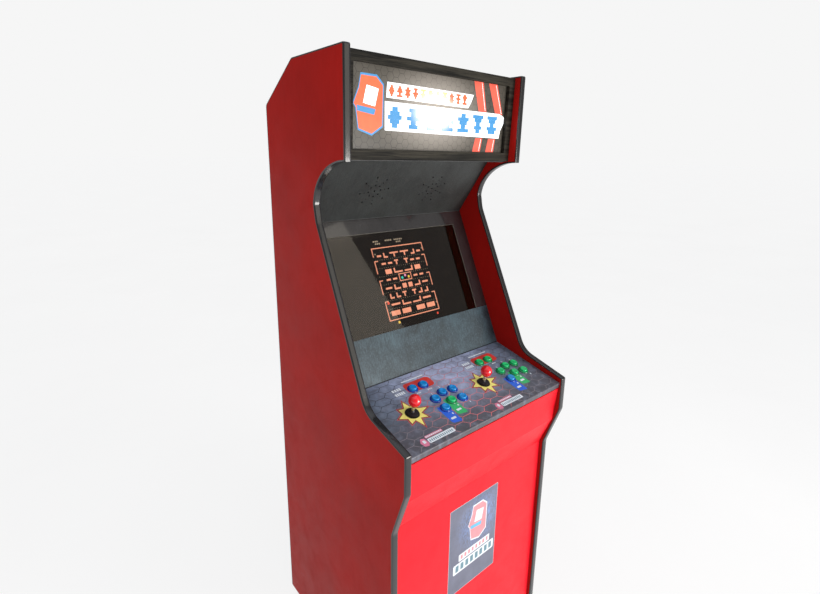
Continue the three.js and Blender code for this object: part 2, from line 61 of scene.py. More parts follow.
def make_camera():
    """Eye height, to the left of the cabinet and looking down at the control deck."""
    data = bpy.data.cameras.new("camera")
    data.sensor_width, data.lens = SENSOR, LENS
    data.shift_x, data.shift_y = SHIFT
    data.clip_start, data.clip_end = 0.01, 500
    camera = bpy.data.objects.new("camera", data)
    yaw, pitch, roll = (math.radians(angle) for angle in (YAW, PITCH, ROLL))
    turn = (Matrix.Rotation(-yaw, 4, "Z") @ Matrix.Rotation(math.pi / 2 + pitch, 4, "X")
            @ Matrix.Rotation(roll, 4, "Z"))
    camera.matrix_world = Matrix.Translation(EYE) @ turn
    scene.collection.objects.link(camera)
    scene.camera = camera


# ---- material helpers ----
def srgb(red, green, blue):
    """Display colour, 0 to 255, as the linear colour that shaders use."""
    def linear(level):
        share = level / 255
        return share / 12.92 if share <= 0.04045 else ((share + 0.055) / 1.055) ** 2.4
    return (linear(red), linear(green), linear(blue), 1.0)


def shade(colour, factor):
    return tuple(min(1.0, part * factor) for part in colour[:3]) + (1.0,)


class Look:
    """A material under construction: one Principled shader fed by procedural nodes."""

    def __init__(self, name, fixed=None):
        self.material = bpy.data.materials.new(name)
        self.material.use_nodes = True
        self.tree = self.material.node_tree
        self.shader = self.tree.nodes["Principled BSDF"]
        for socket, value in (fixed or {}).items():
            self.shader.inputs[socket].default_value = value
        self.object_coordinates = self.node("TexCoord", output="Object")

    def node(self, kind, inputs=None, output=0, **settings):
        made = self.tree.nodes.new("ShaderNode" + kind)
        for setting, value in settings.items():
            setattr(made, setting, value)
        for socket, value in (inputs or {}).items():
            self.feed(made.inputs[socket], value)
        return made.outputs[output]

    def feed(self, socket, value):
        if isinstance(value, bpy.types.NodeSocket):
            self.tree.links.new(value, socket)
        else:
            socket.default_value = value

    def place(self, scale=(1, 1, 1), turn=0.0):
        """Object coordinates turned about x by some degrees, then stretched."""
        tilted = self.node("Mapping", {
            "Vector": self.object_coordinates, "Rotation": (-math.radians(turn), 0, 0)})
        return self.node("Mapping", {"Vector": tilted, "Scale": scale})

    def noise(self, scale, detail=3, roughness=0.55, vector=None, distortion=0.0):
        return self.node("TexNoise", {
            "Vector": vector or self.object_coordinates, "Scale": scale, "Detail": detail,
            "Roughness": roughness, "Distortion": distortion})

    def cells(self, scale, vector=None, output=0):
        return self.node("TexVoronoi", {
            "Vector": vector or self.object_coordinates, "Scale": scale}, output=output)

    def spread(self, value, low, high, to_low=0.0, to_high=1.0, smooth=False):
        return self.node("MapRange", {
            "Value": value, "From Min": low, "From Max": high, "To Min": to_low,
            "To Max": to_high}, interpolation_type="SMOOTHSTEP" if smooth else "LINEAR")

    def mix(self, factor, first, second, blend="MIX"):
        return self.node("Mix", {0: factor, 6: first, 7: second}, output=2, data_type="RGBA",
                         blend_type=blend)

    def tint(self, value, low, high, base, over, amount=1.0):
        """One colour over another, by as much as a value has risen between two levels."""
        return self.mix(self.spread(value, low, high, 0, amount), base, over)

    def maths(self, operation, first, second=0.0):
        return self.node("Math", {0: first, 1: second}, operation=operation)

    def along(self, direction):
        """Distance from the origin along a direction, in metres."""
        return self.node("VectorMath", {0: self.object_coordinates, 1: direction},
                         output="Value", operation="DOT_PRODUCT")

    def away_from(self, point):
        return self.node("VectorMath", {0: self.object_coordinates, 1: point},
                         output="Value", operation="DISTANCE")

    def edges(self, radius):
        """One at convex edges, zero on flat faces."""
        rounded = self.node("Bevel", {"Radius": radius}, samples=3)
        true_normal = self.node("NewGeometry", output="Normal")
        level = self.node("VectorMath", {0: rounded, 1: true_normal}, output="Value",
                          operation="DOT_PRODUCT")
        return self.spread(level, 0.97, 0.75)

    def colour(self, value):
        self.feed(self.shader.inputs["Base Color"], value)

    def roughness(self, value, low, high, at_low, at_high):
        self.feed(self.shader.inputs["Roughness"], self.spread(value, low, high, at_low, at_high))

    def bump(self, height, distance):
        raised = self.node("Bump", {"Height": height, "Distance": distance, "Strength": 1.0})
        self.feed(self.shader.inputs["Normal"], raised)

    def glow(self, colour, strength):
        self.feed(self.shader.inputs["Emission Color"], colour)
        self.feed(self.shader.inputs["Emission Strength"], strength)


# ---- materials ----
def paint(name, colour, gloss, index):
    """Roller-laid satin paint on MDF: slow mottling, fine stipple, dust, rubbed edges, and lighter vertical runs
    that are partly painted sheen.
    """
    look = Look(name, {"IOR": index})
    mottle = look.noise(3.4, 5, 0.6)
    patches = look.noise(17, 4, 0.6, distortion=0.4)
    stipple = look.noise(480, 3, 0.6)
    runs_and_sheen = look.noise(26, 4, 0.6, vector=look.place((9, 9, 0.6)))
    body = look.tint(mottle, 0.3, 0.7, shade(colour, 0.82), shade(colour, 1.14))
    # Lighter vertical streaks: paint runs, drawn lighter as a painted sheen.
    body = look.tint(runs_and_sheen, 0.45, 0.75, body, shade(colour, 1.35), 0.22)
    body = look.tint(patches, 0.5, 0.8, body, shade(colour, 0.72), 0.3)
    body = look.mix(look.maths("MULTIPLY", look.edges(0.0012), look.spread(patches, 0.4, 0.6)),
                    body, shade(colour, 1.3))
    look.colour(body)
    look.roughness(look.maths("ADD", patches, mottle), 0.7, 1.3, gloss - 0.07, gloss + 0.12)
    look.bump(look.maths("ADD", stipple, look.maths("MULTIPLY", patches, 1.5)), 0.00022)
    return look.material


def woodgrain(name, dark, light, gloss):
    """Black stained open-grain veneer: long pores along x over slow streaks."""
    look = Look(name, {"Specular IOR Level": 0.12})
    streaks = look.noise(1, 5, 0.6, vector=look.place((3, 90, 90)), distortion=0.6)
    pores = look.noise(1, 4, 0.7, vector=look.place((14, 900, 900)), distortion=0.3)
    cloud = look.noise(9, 3)
    tone = look.tint(streaks, 0.42, 0.58, dark, light)
    tone = look.tint(pores, 0.5, 0.62, tone, shade(dark, 0.4), 0.8)
    tone = look.tint(cloud, 0.4, 0.8, tone, shade(light, 1.2), 0.3)
    look.colour(look.mix(look.maths("MULTIPLY", look.edges(0.0009), 0.35), tone,
                         shade(light, 2.4)))
    look.roughness(pores, 0.3, 0.7, gloss, gloss + 0.2)
    look.bump(look.maths("SUBTRACT", streaks, pores), 0.0003)
    return look.material


def laminate(name, dark, light, gloss, fine=520):
    """Hard laminate with a leathery press grain: clouds, fleck and a fine pebble relief."""
    look = Look(name, {"Specular IOR Level": 0.5})
    cloud = look.noise(11, 5, 0.62, distortion=0.5)
    fleck = look.noise(190, 3, 0.7)
    pebble = look.cells(fine, look.place())
    brushed = look.noise(1, 4, 0.65, vector=look.place((460, 46, 46)), distortion=0.8)
    tone = look.tint(cloud, 0.32, 0.7, dark, light)
    tone = look.tint(fleck, 0.46, 0.72, tone, shade(light, 1.35), 0.55)
    tone = look.tint(brushed, 0.46, 0.62, tone, shade(dark, 0.6), 0.55)
    look.colour(look.mix(look.maths("MULTIPLY", look.edges(0.0009), 0.4), tone,
                         shade(light, 2.2)))
    look.roughness(cloud, 0.3, 0.75, gloss + 0.08, gloss - 0.06)
    look.bump(look.maths("ADD", pebble, look.maths("MULTIPLY", fleck, 1.2)), 0.00025)
    return look.material


def fibreboard(name, base):
    """Raw MDF: matted fibres, darker specks and fuzzy sawn faces."""
    look = Look(name, {"Specular IOR Level": 0.2})
    fibres = look.noise(1, 4, 0.7, vector=look.place((120, 260, 700)), distortion=1.2)
    specks = look.noise(900, 2, 0.6)
    tone = look.tint(fibres, 0.3, 0.7, shade(base, 0.7), shade(base, 1.2))
    look.colour(look.tint(specks, 0.62, 0.75, tone, shade(base, 0.4), 0.6))
    look.roughness(fibres, 0.3, 0.7, 0.78, 0.95)
    look.bump(fibres, 0.0004)
    return look.material


def plastic(name, colour, gloss, coat=0.0, grain=0.00006, wear=0.14):
    """Injection-moulded plastic: faint flow marks, handling scratches and spark grain."""
    look = Look(name, {"Coat Weight": coat, "Coat Roughness": 0.06, "IOR": 1.5})
    flow = look.noise(60, 3, 0.6, distortion=0.8)
    grit = look.noise(2600, 2, 0.6)
    scratches = look.noise(1, 2, 0.5, vector=look.place((90, 1500, 200), 31))
    tone = look.tint(flow, 0.3, 0.7, shade(colour, 0.9), shade(colour, 1.12))
    look.colour(look.tint(scratches, 0.68, 0.78, tone, shade(colour, 1.7), wear))
    look.roughness(look.maths("ADD", flow, scratches), 0.7, 1.3, gloss, gloss + wear)
    look.bump(grit, grain)
    return look.material


def metal(name, colour, gloss, grain=(30, 30, 900), spangle=0.0):
    """Plated or ground steel: directional polish lines or zinc spangle, with dull patches."""
    look = Look(name, {"Metallic": 1.0})
    lines = look.noise(1, 3, 0.6, vector=look.place(grain))
    tarnish = look.noise(45, 4, 0.6)
    flakes = look.cells(190, output="Color")
    tone = look.tint(tarnish, 0.35, 0.75, colour, shade(colour, 0.72))
    tone = look.mix(spangle, tone, flakes, "SOFT_LIGHT")
    look.colour(look.tint(lines, 0.4, 0.7, tone, shade(colour, 0.6), 0.25))
    look.roughness(look.maths("ADD", lines, tarnish), 0.7, 1.35, gloss, gloss + 0.22)
    look.bump(lines, 0.00004)
    return look.material


def ink(name, colour, gloss=0.32):
    """Screen ink under a matt over-laminate: slight mottle, dot screen and orange peel."""
    look = Look(name, {"Coat Weight": 0.15, "Coat Roughness": 0.3})
    mottle = look.noise(70, 3, 0.6)
    dots = look.cells(1500)
    tone = look.tint(mottle, 0.3, 0.7, shade(colour, 0.9), shade(colour, 1.08))
    look.colour(look.tint(dots, 0.5, 0.8, tone, shade(colour, 0.7), 0.15))
    look.roughness(mottle, 0.3, 0.7, gloss, gloss + 0.12)
    look.bump(look.noise(420, 2), 0.00012)
    return look.material


def deck_print(face):
    """Printed overlay: slate blue, plum towards the front; paler to the rear and middle, where a sheen is painted
    in.
    """
    look = Look("deck_print", {"Coat Weight": 0.1, "Coat Roughness": 0.35})
    up = look.maths("SUBTRACT", look.along(face.up), face.origin.dot(face.up))
    rearward = look.spread(up, 0.0, 0.24, smooth=True)
    middle = look.spread(look.maths("ABSOLUTE", look.along((1, 0, 0))), 0.30, 0.05)
    cloud = look.noise(34, 5, 0.65, distortion=0.6)
    smear = look.noise(1, 4, 0.6, vector=look.place((50, 50, 12)))
    tone = look.mix(rearward, srgb(80, 78, 88), srgb(88, 108, 126))
    # Pale lavender over the middle of the rear half: a painted sheen.
    tone = look.mix(look.maths("MULTIPLY", look.maths("MULTIPLY", middle, rearward), 0.95),
                    tone, srgb(196, 204, 240))
    tone = look.mix(look.spread(cloud, 0.35, 0.68, 0.55, 0.0), tone, srgb(52, 50, 54))
    look.colour(look.tint(smear, 0.5, 0.72, tone, srgb(136, 144, 164), 0.4))
    look.roughness(cloud, 0.3, 0.7, 0.34, 0.5)
    look.bump(look.noise(380, 3), 0.00016)
    return look.material


def lattice_ink(name, face, front, back, core, reach):
    """Line ink: one colour in front, one at the rear, and a third near the middle."""
    look = Look(name)
    up = look.maths("SUBTRACT", look.along(face.up), face.origin.dot(face.up))
    side = look.mix(look.spread(up, 0.05, 0.16, smooth=True), front, back)
    near = look.spread(look.away_from(reach["centre"]), reach["radius"], reach["radius"] * 0.35,
                       smooth=True)
    mottle = look.noise(55, 4, 0.6)
    tone = look.mix(near, side, core)
    look.colour(look.tint(mottle, 0.45, 0.75, tone, srgb(74, 72, 84), 0.5))
    look.roughness(mottle, 0.3, 0.7, 0.3, 0.5)
    look.bump(look.noise(400, 2), 0.0001)
    return look.material


def lit_ink(name, colour, centre, lit=0.35, hot=1.3, reach=0.066, wash=1.0):
    """Translucent sign ink: washes out to white where the lamp behind it shines through."""
    look = Look(name, {"Specular IOR Level": 0.25, "Coat Weight": 0.08,
                       "Coat Roughness": 0.2})
    mottle = look.noise(45, 3, 0.6)
    squeezed = look.node("VectorMath", {0: look.object_coordinates, 1: centre},
                         operation="SUBTRACT")
    squeezed = look.node("VectorMath", {0: squeezed, 1: (0.62, 1.0, 1.0)},
                         operation="MULTIPLY")
    distance = look.node("VectorMath", {0: squeezed}, output="Value", operation="LENGTH")
    core = look.spread(distance, reach, 0.012, 0, wash, smooth=True)
    tone = look.tint(mottle, 0.3, 0.7, shade(colour, 0.88), shade(colour, 1.06))
    tone = look.mix(core, tone, srgb(255, 244, 232))
    look.colour(tone)
    look.roughness(mottle, 0.3, 0.7, 0.3, 0.42)
    look.bump(look.noise(260, 2), 0.00008)
    look.glow(tone, look.spread(core, 0, 1, lit, hot))
    return look.material


def phosphor(name, colour, strength):
    """Lit pixels of the display: flicker-free colour with a faint cell structure."""
    look = Look(name, {"Specular IOR Level": 0.2})
    cells = look.cells(1900)
    tone = look.tint(cells, 0.2, 0.8, colour, shade(colour, 0.6), 0.5)
    look.colour(shade(colour, 0.3))
    look.roughness(cells, 0.2, 0.8, 0.4, 0.6)
    look.glow(tone, strength)
    return look.material


def panel_dark():
    """Unlit pixels of the display: almost black with a faint warm back-light leak."""
    look = Look("panel_dark", {"Specular IOR Level": 0.1})
    leak = look.noise(5, 3)
    look.colour(look.tint(leak, 0.3, 0.7, srgb(12, 10, 9), srgb(20, 16, 14)))
    look.roughness(leak, 0.3, 0.7, 0.6, 0.75)
    look.glow(look.mix(leak, srgb(30, 22, 16), srgb(40, 31, 22)), 0.5)
    return look.material


def smoked_glass():
    """Brown-tinted acrylic: clear enough to show the display, with wiped smears."""
    look = Look("smoked_glass", {"Transmission Weight": 1.0, "IOR": 1.46})
    smears = look.noise(7, 5, 0.65, vector=look.place((1, 3, 0.4)), distortion=1.5)
    look.colour(look.tint(smears, 0.35, 0.7, srgb(152, 140, 124), srgb(166, 152, 134)))
    look.roughness(smears, 0.4, 0.75, 0.015, 0.07)
    return look.material


def gloss_black(name, tint):
    """Back-painted acrylic surround of the window: deep gloss, dust and hairlines."""
    look = Look(name, {"Coat Weight": 1.0, "Coat Roughness": 0.04, "IOR": 1.5})
    dust = look.noise(800, 2, 0.6)
    smears = look.noise(8, 5, 0.65, vector=look.place((1, 3, 0.4)), distortion=1.5)
    grain = look.noise(1, 4, 0.65, vector=look.place((460, 46, 46)), distortion=0.8)
    tone = look.tint(grain, 0.42, 0.62, shade(tint, 1.5), shade(tint, 0.7))
    tone = look.tint(smears, 0.45, 0.7, tone, shade(tint, 1.9), 0.4)
    look.colour(look.tint(dust, 0.66, 0.8, tone, srgb(96, 92, 86), 0.35))
    look.roughness(smears, 0.3, 0.7, 0.12, 0.24)
    look.bump(dust, 0.00002)
    return look.material


def powder_coat(name, colour):
    look = Look(name, {"Metallic": 0.2})
    peel = look.noise(520, 3, 0.6)
    tone = look.tint(look.noise(12, 4), 0.3, 0.7, shade(colour, 0.9), shade(colour, 1.1))
    look.colour(look.mix(look.maths("MULTIPLY", look.edges(0.001), 0.5), tone,
                         srgb(178, 180, 182)))
    look.roughness(peel, 0.3, 0.7, 0.45, 0.62)
    look.bump(peel, 0.00025)
    return look.material


FLOOR_DARK, FLOOR_PALE = (0.12, 0.12, 0.12, 1), (0.14, 0.14, 0.14, 1)
FLOOR_GLOW = 0.83  # most of the floor's paleness, so that shadows on it stay light


def pale_floor():
    look = Look("floor", {"Specular IOR Level": 0.2})
    look.colour(look.tint(look.noise(0.8, 4), 0.3, 0.7, FLOOR_DARK, FLOOR_PALE))
    look.roughness(look.noise(6, 3), 0.3, 0.7, 0.8, 0.9)
    look.glow((1, 1, 1, 1), FLOOR_GLOW)
    return look.material


# ---- faces of the cabinet ----
class Face:
    """A flat face: x across, y up the face, z outwards, read from a node's broadest facet."""

    def __init__(self, node, toward, start=0.0):
        mesh = frame["nodes"][node].data
        areas = {}
        for polygon in mesh.polygons:
            if polygon.normal.dot(Vector(toward)) > 0.3:
                key = tuple(round(part, 4) for part in polygon.normal)
                areas[key] = areas.get(key, 0) + polygon.area
        self.out = Vector(max(areas, key=areas.get)).normalized()
        self.up = self.out.cross(Vector((1, 0, 0)))
        heights = [v.co.dot(self.up) for v in mesh.vertices]
        levels = [v.co.dot(self.out) for v in mesh.vertices]
        self.origin = self.up * (min(heights) - start * MM) + self.out * max(levels)
        self.length = (max(heights) - min(heights)) / MM + start
        basis = Matrix((Vector((1, 0, 0)), self.up, self.out)).transposed().to_4x4()
        self.matrix = Matrix.Translation(self.origin) @ basis @ Matrix.Scale(MM, 4)

    def local(self, point):
        return self.matrix.inverted() @ Vector(point)

    def at(self, x, y, z=0.0):
        return self.matrix @ Vector((x, y, z))

    def middle(self, node):
        low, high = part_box(node)
        return self.local((low + high) / 2)


SHADOW_LINE = 3  # open joint between the deck and the screen bezel
deck = Face("control_panel_overlay", (0, -0.3, 1))
screen = Face("bezel_board", (0, -1, 0.4), SHADOW_LINE)
baffle = Face("speaker_panel", (0, -1, -0.5), 0.5)
header = Face("marquee_frame", (0, -1, 0))
kick = Face("kick_panel", (0, -1, 0))
MILLIMETRES = Matrix.Scale(MM, 4)


# ---- shape helpers ----
class Shape:
    """A mesh under construction, in millimetres, with a material number on every face."""

    def __init__(self):
        self.bm = bmesh.new()

    def face(self, verts, material=0):
        made = self.bm.faces.new(verts)
        made.material_index = material

    def prism(self, outline, low, high, material=0):
        """Outline in x and y, closed between two levels of z."""
        bottom = [self.bm.verts.new((x, y, low)) for x, y in outline]
        top = [self.bm.verts.new((x, y, high)) for x, y in outline]
        self.face(bottom[::-1], material)
        self.face(top, material)
        for i in range(len(outline)):
            j = (i + 1) % len(outline)
            self.face((bottom[i], bottom[j], top[j], top[i]), material)

    def block(self, x, y, z, material=0):
        """Box between pairs of x, y and z."""
        self.prism([(x[0], y[0]), (x[1], y[0]), (x[1], y[1]), (x[0], y[1])], *z, material)

    def bar(self, start, end, width, low, high, material=0):
        """Straight line of some width, drawn flat."""
        way = (Vector(end) - Vector(start)).normalized() * width / 2
        side = Vector((-way.y, way.x))
        a, b = Vector(start) - way * 0.5, Vector(end) + way * 0.5
        self.prism([a - side, b - side, b + side, a + side], low, high, material)

    def lathe(self, profile, at=(0, 0, 0), sides=48, material=0, closed=False, turn=None):
        """[radius, height] pairs turned round z; a closed profile makes a ring."""
        turn = turn or Matrix.Identity(3)
        rings = []
        for radius, height in profile:
            count = sides if radius > 0 else 1
            rings.append([self.bm.verts.new(Vector(at) + turn @ Vector((
                radius * math.cos(2 * math.pi * (i + 0.5) / sides),
                radius * math.sin(2 * math.pi * (i + 0.5) / sides), height)))
                for i in range(count)])
        pairs = list(zip(rings, rings[1:]))
        if closed:
            pairs.append((rings[-1], rings[0]))
        for a, b in pairs:
            for i in range(sides):
                j = i + 1
                corners = (a[i % len(a)], a[j % len(a)], b[j % len(b)], b[i % len(b)])
                corners = list(dict.fromkeys(corners))
                if len(corners) > 2:
                    self.face(corners, material)

    def screw(self, at, radius=4.0, material=0, turn=None):
        """Countersunk cross-head screw: dished head with a four-armed recess."""
        turn = turn or Matrix.Identity(3)
        place = lambda x, y, z: self.bm.verts.new(Vector(at) + turn @ Vector((x, y, z)))
        arm, reach = radius * 0.14, radius * 0.55
        quarter = [(reach, -arm), (reach, arm), (arm, arm)]
        cross = [(x * c - y * s, x * s + y * c) for c, s in ((1, 0), (0, 1), (-1, 0), (0, -1))
                 for x, y in quarter]
        levels = [(1.0, -radius * 0.5), (1.0, 0.0), (0.9, radius * 0.12)]
        round_at = lambda i: 2 * math.pi * (i - 1) / 12
        rings = [[place(radius * k * math.cos(round_at(i)), radius * k * math.sin(round_at(i)), z)
                  for i in range(12)] for k, z in levels]
        rings.append([place(x, y, radius * 0.16) for x, y in cross])
        rings.append([place(x, y, -radius * 0.3) for x, y in cross])
        self.face(rings[0][::-1], material)
        self.face(rings[-1], material)
        for a, b in zip(rings, rings[1:]):
            for i in range(12):
                j = (i + 1) % 12
                self.face((a[i], a[j], b[j], b[i]), material)


def rounded(x, y, radius, steps=5):
    """Rectangle between pairs of x and y, with round corners."""
    points = []
    for n, (cx, cy) in enumerate(((x[1] - radius, y[0] + radius), (x[1] - radius, y[1] - radius),
                                  (x[0] + radius, y[1] - radius), (x[0] + radius, y[0] + radius))):
        for i in range(steps + 1):
            turn = (n - 1 + i / steps) * math.pi / 2
            points.append((cx + radius * math.cos(turn), cy + radius * math.sin(turn)))
    return points


def circle(x, y, radius, sides=48):
    return [(x + radius * math.cos(2 * math.pi * i / sides),
             y + radius * math.sin(2 * math.pi * i / sides)) for i in range(sides)]


def arc(centre, radius, first, last, steps=6):
    """Points on an arc between two angles in degrees."""
    turns = [math.radians(first + (last - first) * i / steps) for i in range(steps + 1)]
    return [(centre[0] + radius * math.cos(t), centre[1] + radius * math.sin(t)) for t in turns]


SHARP_ANGLE = 35  # degrees


def smooth_edges(mesh):
    mesh.shade_smooth()
    mesh.set_sharp_from_angle(angle=math.radians(SHARP_ANGLE))


def piece(name, shape, looks, body="cabinet", place=MILLIMETRES, replaces=(), bevel=0.0,
          cutter=None):
    """Finishes a shape as an object that rides on a body and what it replaces."""
    mesh = bpy.data.meshes.new(name)
    bmesh.ops.recalc_face_normals(shape.bm, faces=shape.bm.faces)
    shape.bm.to_mesh(mesh)
    shape.bm.free()
    mesh.transform(place)
    for look in looks:
        mesh.materials.append(look)
    made = bpy.data.objects.new(name, mesh)
    scene.collection.objects.link(made)
    if cutter:
        carve(made, cutter, place)
    smooth_edges(made.data)
    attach(made, body)
    if replaces:
        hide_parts(*replaces)
    if bevel:
        soften(made, bevel)
    return made


def carve(made, cutter, place):
    """Cuts a closed shape out of an object and keeps the result as its mesh."""
    tool_mesh = bpy.data.meshes.new("cutter")
    bmesh.ops.recalc_face_normals(cutter.bm, faces=cutter.bm.faces)
    cutter.bm.to_mesh(tool_mesh)
    cutter.bm.free()
    tool_mesh.transform(place)
    for look in made.data.materials:
        tool_mesh.materials.append(look)
    tool = bpy.data.objects.new("cutter", tool_mesh)
    scene.collection.objects.link(tool)
    cut = made.modifiers.new("cut", "BOOLEAN")
    cut.operation, cut.solver, cut.object = "DIFFERENCE", "EXACT", tool
    graph = bpy.context.evaluated_depsgraph_get()
    result = bpy.data.meshes.new_from_object(made.evaluated_get(graph))
    made.modifiers.clear()
    made.data = result
    bpy.data.objects.remove(tool)


def soften(made, width):
    """Narrow rounded edge, so that the board or casting catches the light."""
    bevel = made.modifiers.new("edges", "BEVEL")
    bevel.width, bevel.segments = width * MM, 2
    bevel.limit_method, bevel.angle_limit = "ANGLE", math.radians(40)
    bevel.harden_normals = False


def wire(name, points, radius, look, body="cabinet", place=MILLIMETRES):
    """Insulated wire through points in millimetres, as a smooth round curve."""
    data = bpy.data.curves.new(name, "CURVE")
    data.dimensions, data.bevel_depth, data.bevel_resolution = "3D", radius * MM, 3
    data.resolution_u, data.use_fill_caps = 6, True
    spline = data.splines.new("BEZIER")
    spline.bezier_points.add(len(points) - 1)
    for knot, point in zip(spline.bezier_points, points):
        knot.co = place @ Vector(point)
        knot.handle_left_type = knot.handle_right_type = "AUTO"
    data.materials.append(look)
    made = bpy.data.objects.new(name, data)
    scene.collection.objects.link(made)
    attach(made, body)
    return made


# ---- palette ----
LOOKS = {
    "red_paint": paint("red_paint", srgb(163, 25, 20), 0.38, 1.13),
    "red_front": paint("red_front", srgb(222, 16, 34), 0.4, 1.3),
    "edge_trim": plastic("edge_trim", srgb(24, 24, 26), 0.2, 0.4, 0.00001, 0.04),
    "black_laminate": laminate("black_laminate", srgb(34, 36, 38), srgb(58, 60, 62), 0.5),
    "black_woodgrain": woodgrain("black_woodgrain", srgb(9, 9, 8), srgb(50, 47, 40), 0.46),
    "slate_laminate": laminate("slate_laminate", srgb(24, 33, 38), srgb(68, 89, 99), 0.4, 420),
    "speaker_laminate": laminate("speaker_laminate", srgb(22, 25, 25), srgb(46, 50, 49), 0.5,
                                 700),
    "raw_board": fibreboard("raw_board", srgb(160, 126, 88)),
    "deck_print": deck_print(deck),
    "lamp": phosphor("lamp", srgb(240, 246, 255), 1.2),
    "glass": smoked_glass(),
    "black_plastic": plastic("black_plastic", srgb(26, 26, 28), 0.34, grain=0.00012),
    "blue_plastic": plastic("blue_plastic", srgb(0, 132, 206), 0.12, 0.6),
    "green_plastic": plastic("green_plastic", srgb(4, 184, 104), 0.12, 0.6),
    "red_plastic": plastic("red_plastic", srgb(226, 16, 30), 0.1, 0.8),
    "steel": metal("steel", (0.66, 0.66, 0.68, 1), 0.16),
    "zinc": metal("zinc", (0.62, 0.64, 0.66, 1), 0.3, (60, 60, 60), 0.5),
    "grey_paint": powder_coat("grey_paint", srgb(120, 124, 128)),
}
GLOW_CENTRE = header.at(-7, 128, -12)
LOOKS["marquee_print"] = lit_ink("marquee_print", srgb(74, 70, 63), GLOW_CENTRE, 0.1, 0.25, 0.15,
                                 0.3)
for part in frame["record"]["subparts"]:
    node = frame["nodes"][part["node"]]
    node.data.materials.clear()
    node.data.materials.append(LOOKS[part["material_slot"]])
for name in ("marquee_frame", "bezel_board", "roof_panel", "rear_slope_panel", "soffit_board",
             "rear_frame_panel", "kick_panel", "apron_panel", "base_board",
             "control_panel_board", "monitor_mount", "rear_door"):
    soften(frame["nodes"][name], 0.7)
for name in ("computer_case", "power_inlet", "power_switch", "p1_joystick_base",
             "p2_joystick_base", "p1_joystick_gimbal", "p2_joystick_gimbal"):
    soften(frame["nodes"][name], 0.4)

WHITE = ink("white_ink", srgb(222, 228, 236))
RED_INK = ink("red_ink", srgb(214, 62, 54))
YELLOW_INK = ink("yellow_ink", srgb(244, 232, 128))
BLUE_INK = ink("blue_ink", srgb(40, 98, 214))
GREEN_INK = ink("green_ink", srgb(52, 178, 104))
PINK_INK = ink("pink_ink", srgb(214, 120, 150))
TEAL_INK = ink("teal_ink", srgb(96, 132, 146))
DARK_INK = ink("dark_ink", srgb(72, 66, 72))
BLACK_INK = ink("black_ink", srgb(30, 26, 20))
# Rims and nuts: darker copies of the caps' blue and green plastic, as painted shade.
SHADED_RIM_BLUE = plastic("rim_blue_shaded", srgb(0, 52, 150), 0.14, 0.6)
SHADED_RIM_GREEN = plastic("rim_green_shaded", srgb(4, 116, 66), 0.14, 0.6)
BRASS = metal("brass", (0.78, 0.6, 0.3, 1), 0.25)
# Near-black matt stand-in for shade: on the baffle's hole walls, on a disc behind the holes and in the deck joint;
# painted shade.
SHADE_BLACK = ink("painted_shade_black", srgb(9, 9, 9), 0.85)
SHEATH = plastic("wire_sheath", srgb(24, 24, 26), 0.4)


# ---- edge trim ----
def panel_outline(node):
    """The outline of a side panel from front foot to rear foot, as [y, z] in millimetres."""
    mesh = frame["nodes"][node].data
    low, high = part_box(node)
    outer = low.x if low.x < 0 else high.x
    key = lambda v: (round(mesh.vertices[v].co.y / MM, 2), round(mesh.vertices[v].co.z / MM, 2))
    uses = {}
    for polygon in mesh.polygons:
        if all(abs(mesh.vertices[v].co.x - outer) < MM / 10 for v in polygon.vertices):
            corners = [key(v) for v in polygon.vertices]
            for a, b in zip(corners, corners[1:] + corners[:1]):
                uses[frozenset((a, b))] = uses.get(frozenset((a, b)), 0) + 1
    links = {}
    for pair, count in uses.items():
        if count == 1 and len(pair) == 2:
            a, b = pair
            links.setdefault(a, []).append(b)
            links.setdefault(b, []).append(a)
    foot = low.z / MM
    feet = sorted(p for p in links if abs(p[1] - foot) < 0.1)
    start, end = feet[0], feet[-1]
    run = [start]
    step = max(links[start], key=lambda p: p[1])
    while step != end:
        run.append(step)
        step = next(p for p in links[step] if p != run[-2] and p not in run)
    return [Vector(p) for p in run + [end]]


def smooth_run(points, step=5.0, long_side=45.0, corner=50.0):
    """Corners turned into a smooth line: long sides stay straight, short ones follow arcs."""
    sides = [b - a for a, b in zip(points, points[1:])]
    ways = [(sides[0].normalized(), sides[0].normalized())]
    for before, after in zip(sides, sides[1:]):
        if math.degrees(before.angle(after)) > corner:
            ways.append((before.normalized(), after.normalized()))
            continue
        if max(before.length, after.length) > long_side:
            way = max(before, after, key=lambda side: side.length).normalized()
        else:
            way = (before.normalized() * after.length + after.normalized() * before.length)
            way.normalize()
        ways.append((way, way))
    ways.append((sides[-1].normalized(), sides[-1].normalized()))
    run = [points[0]]
    for i, side in enumerate(sides):
        start, end = ways[i][1] * side.length, ways[i + 1][0] * side.length
        bends = start.angle(side) + end.angle(side) > math.radians(0.6)
        count = max(1, round(side.length / step)) if bends else 1
        for n in range(1, count + 1):
            t = n / count
            run.append(points[i] * (2 * t ** 3 - 3 * t ** 2 + 1) + start * (t ** 3 - 2 * t * t + t)
                       + points[i + 1] * (3 * t * t - 2 * t ** 3) + end * (t ** 3 - t * t))
    return run


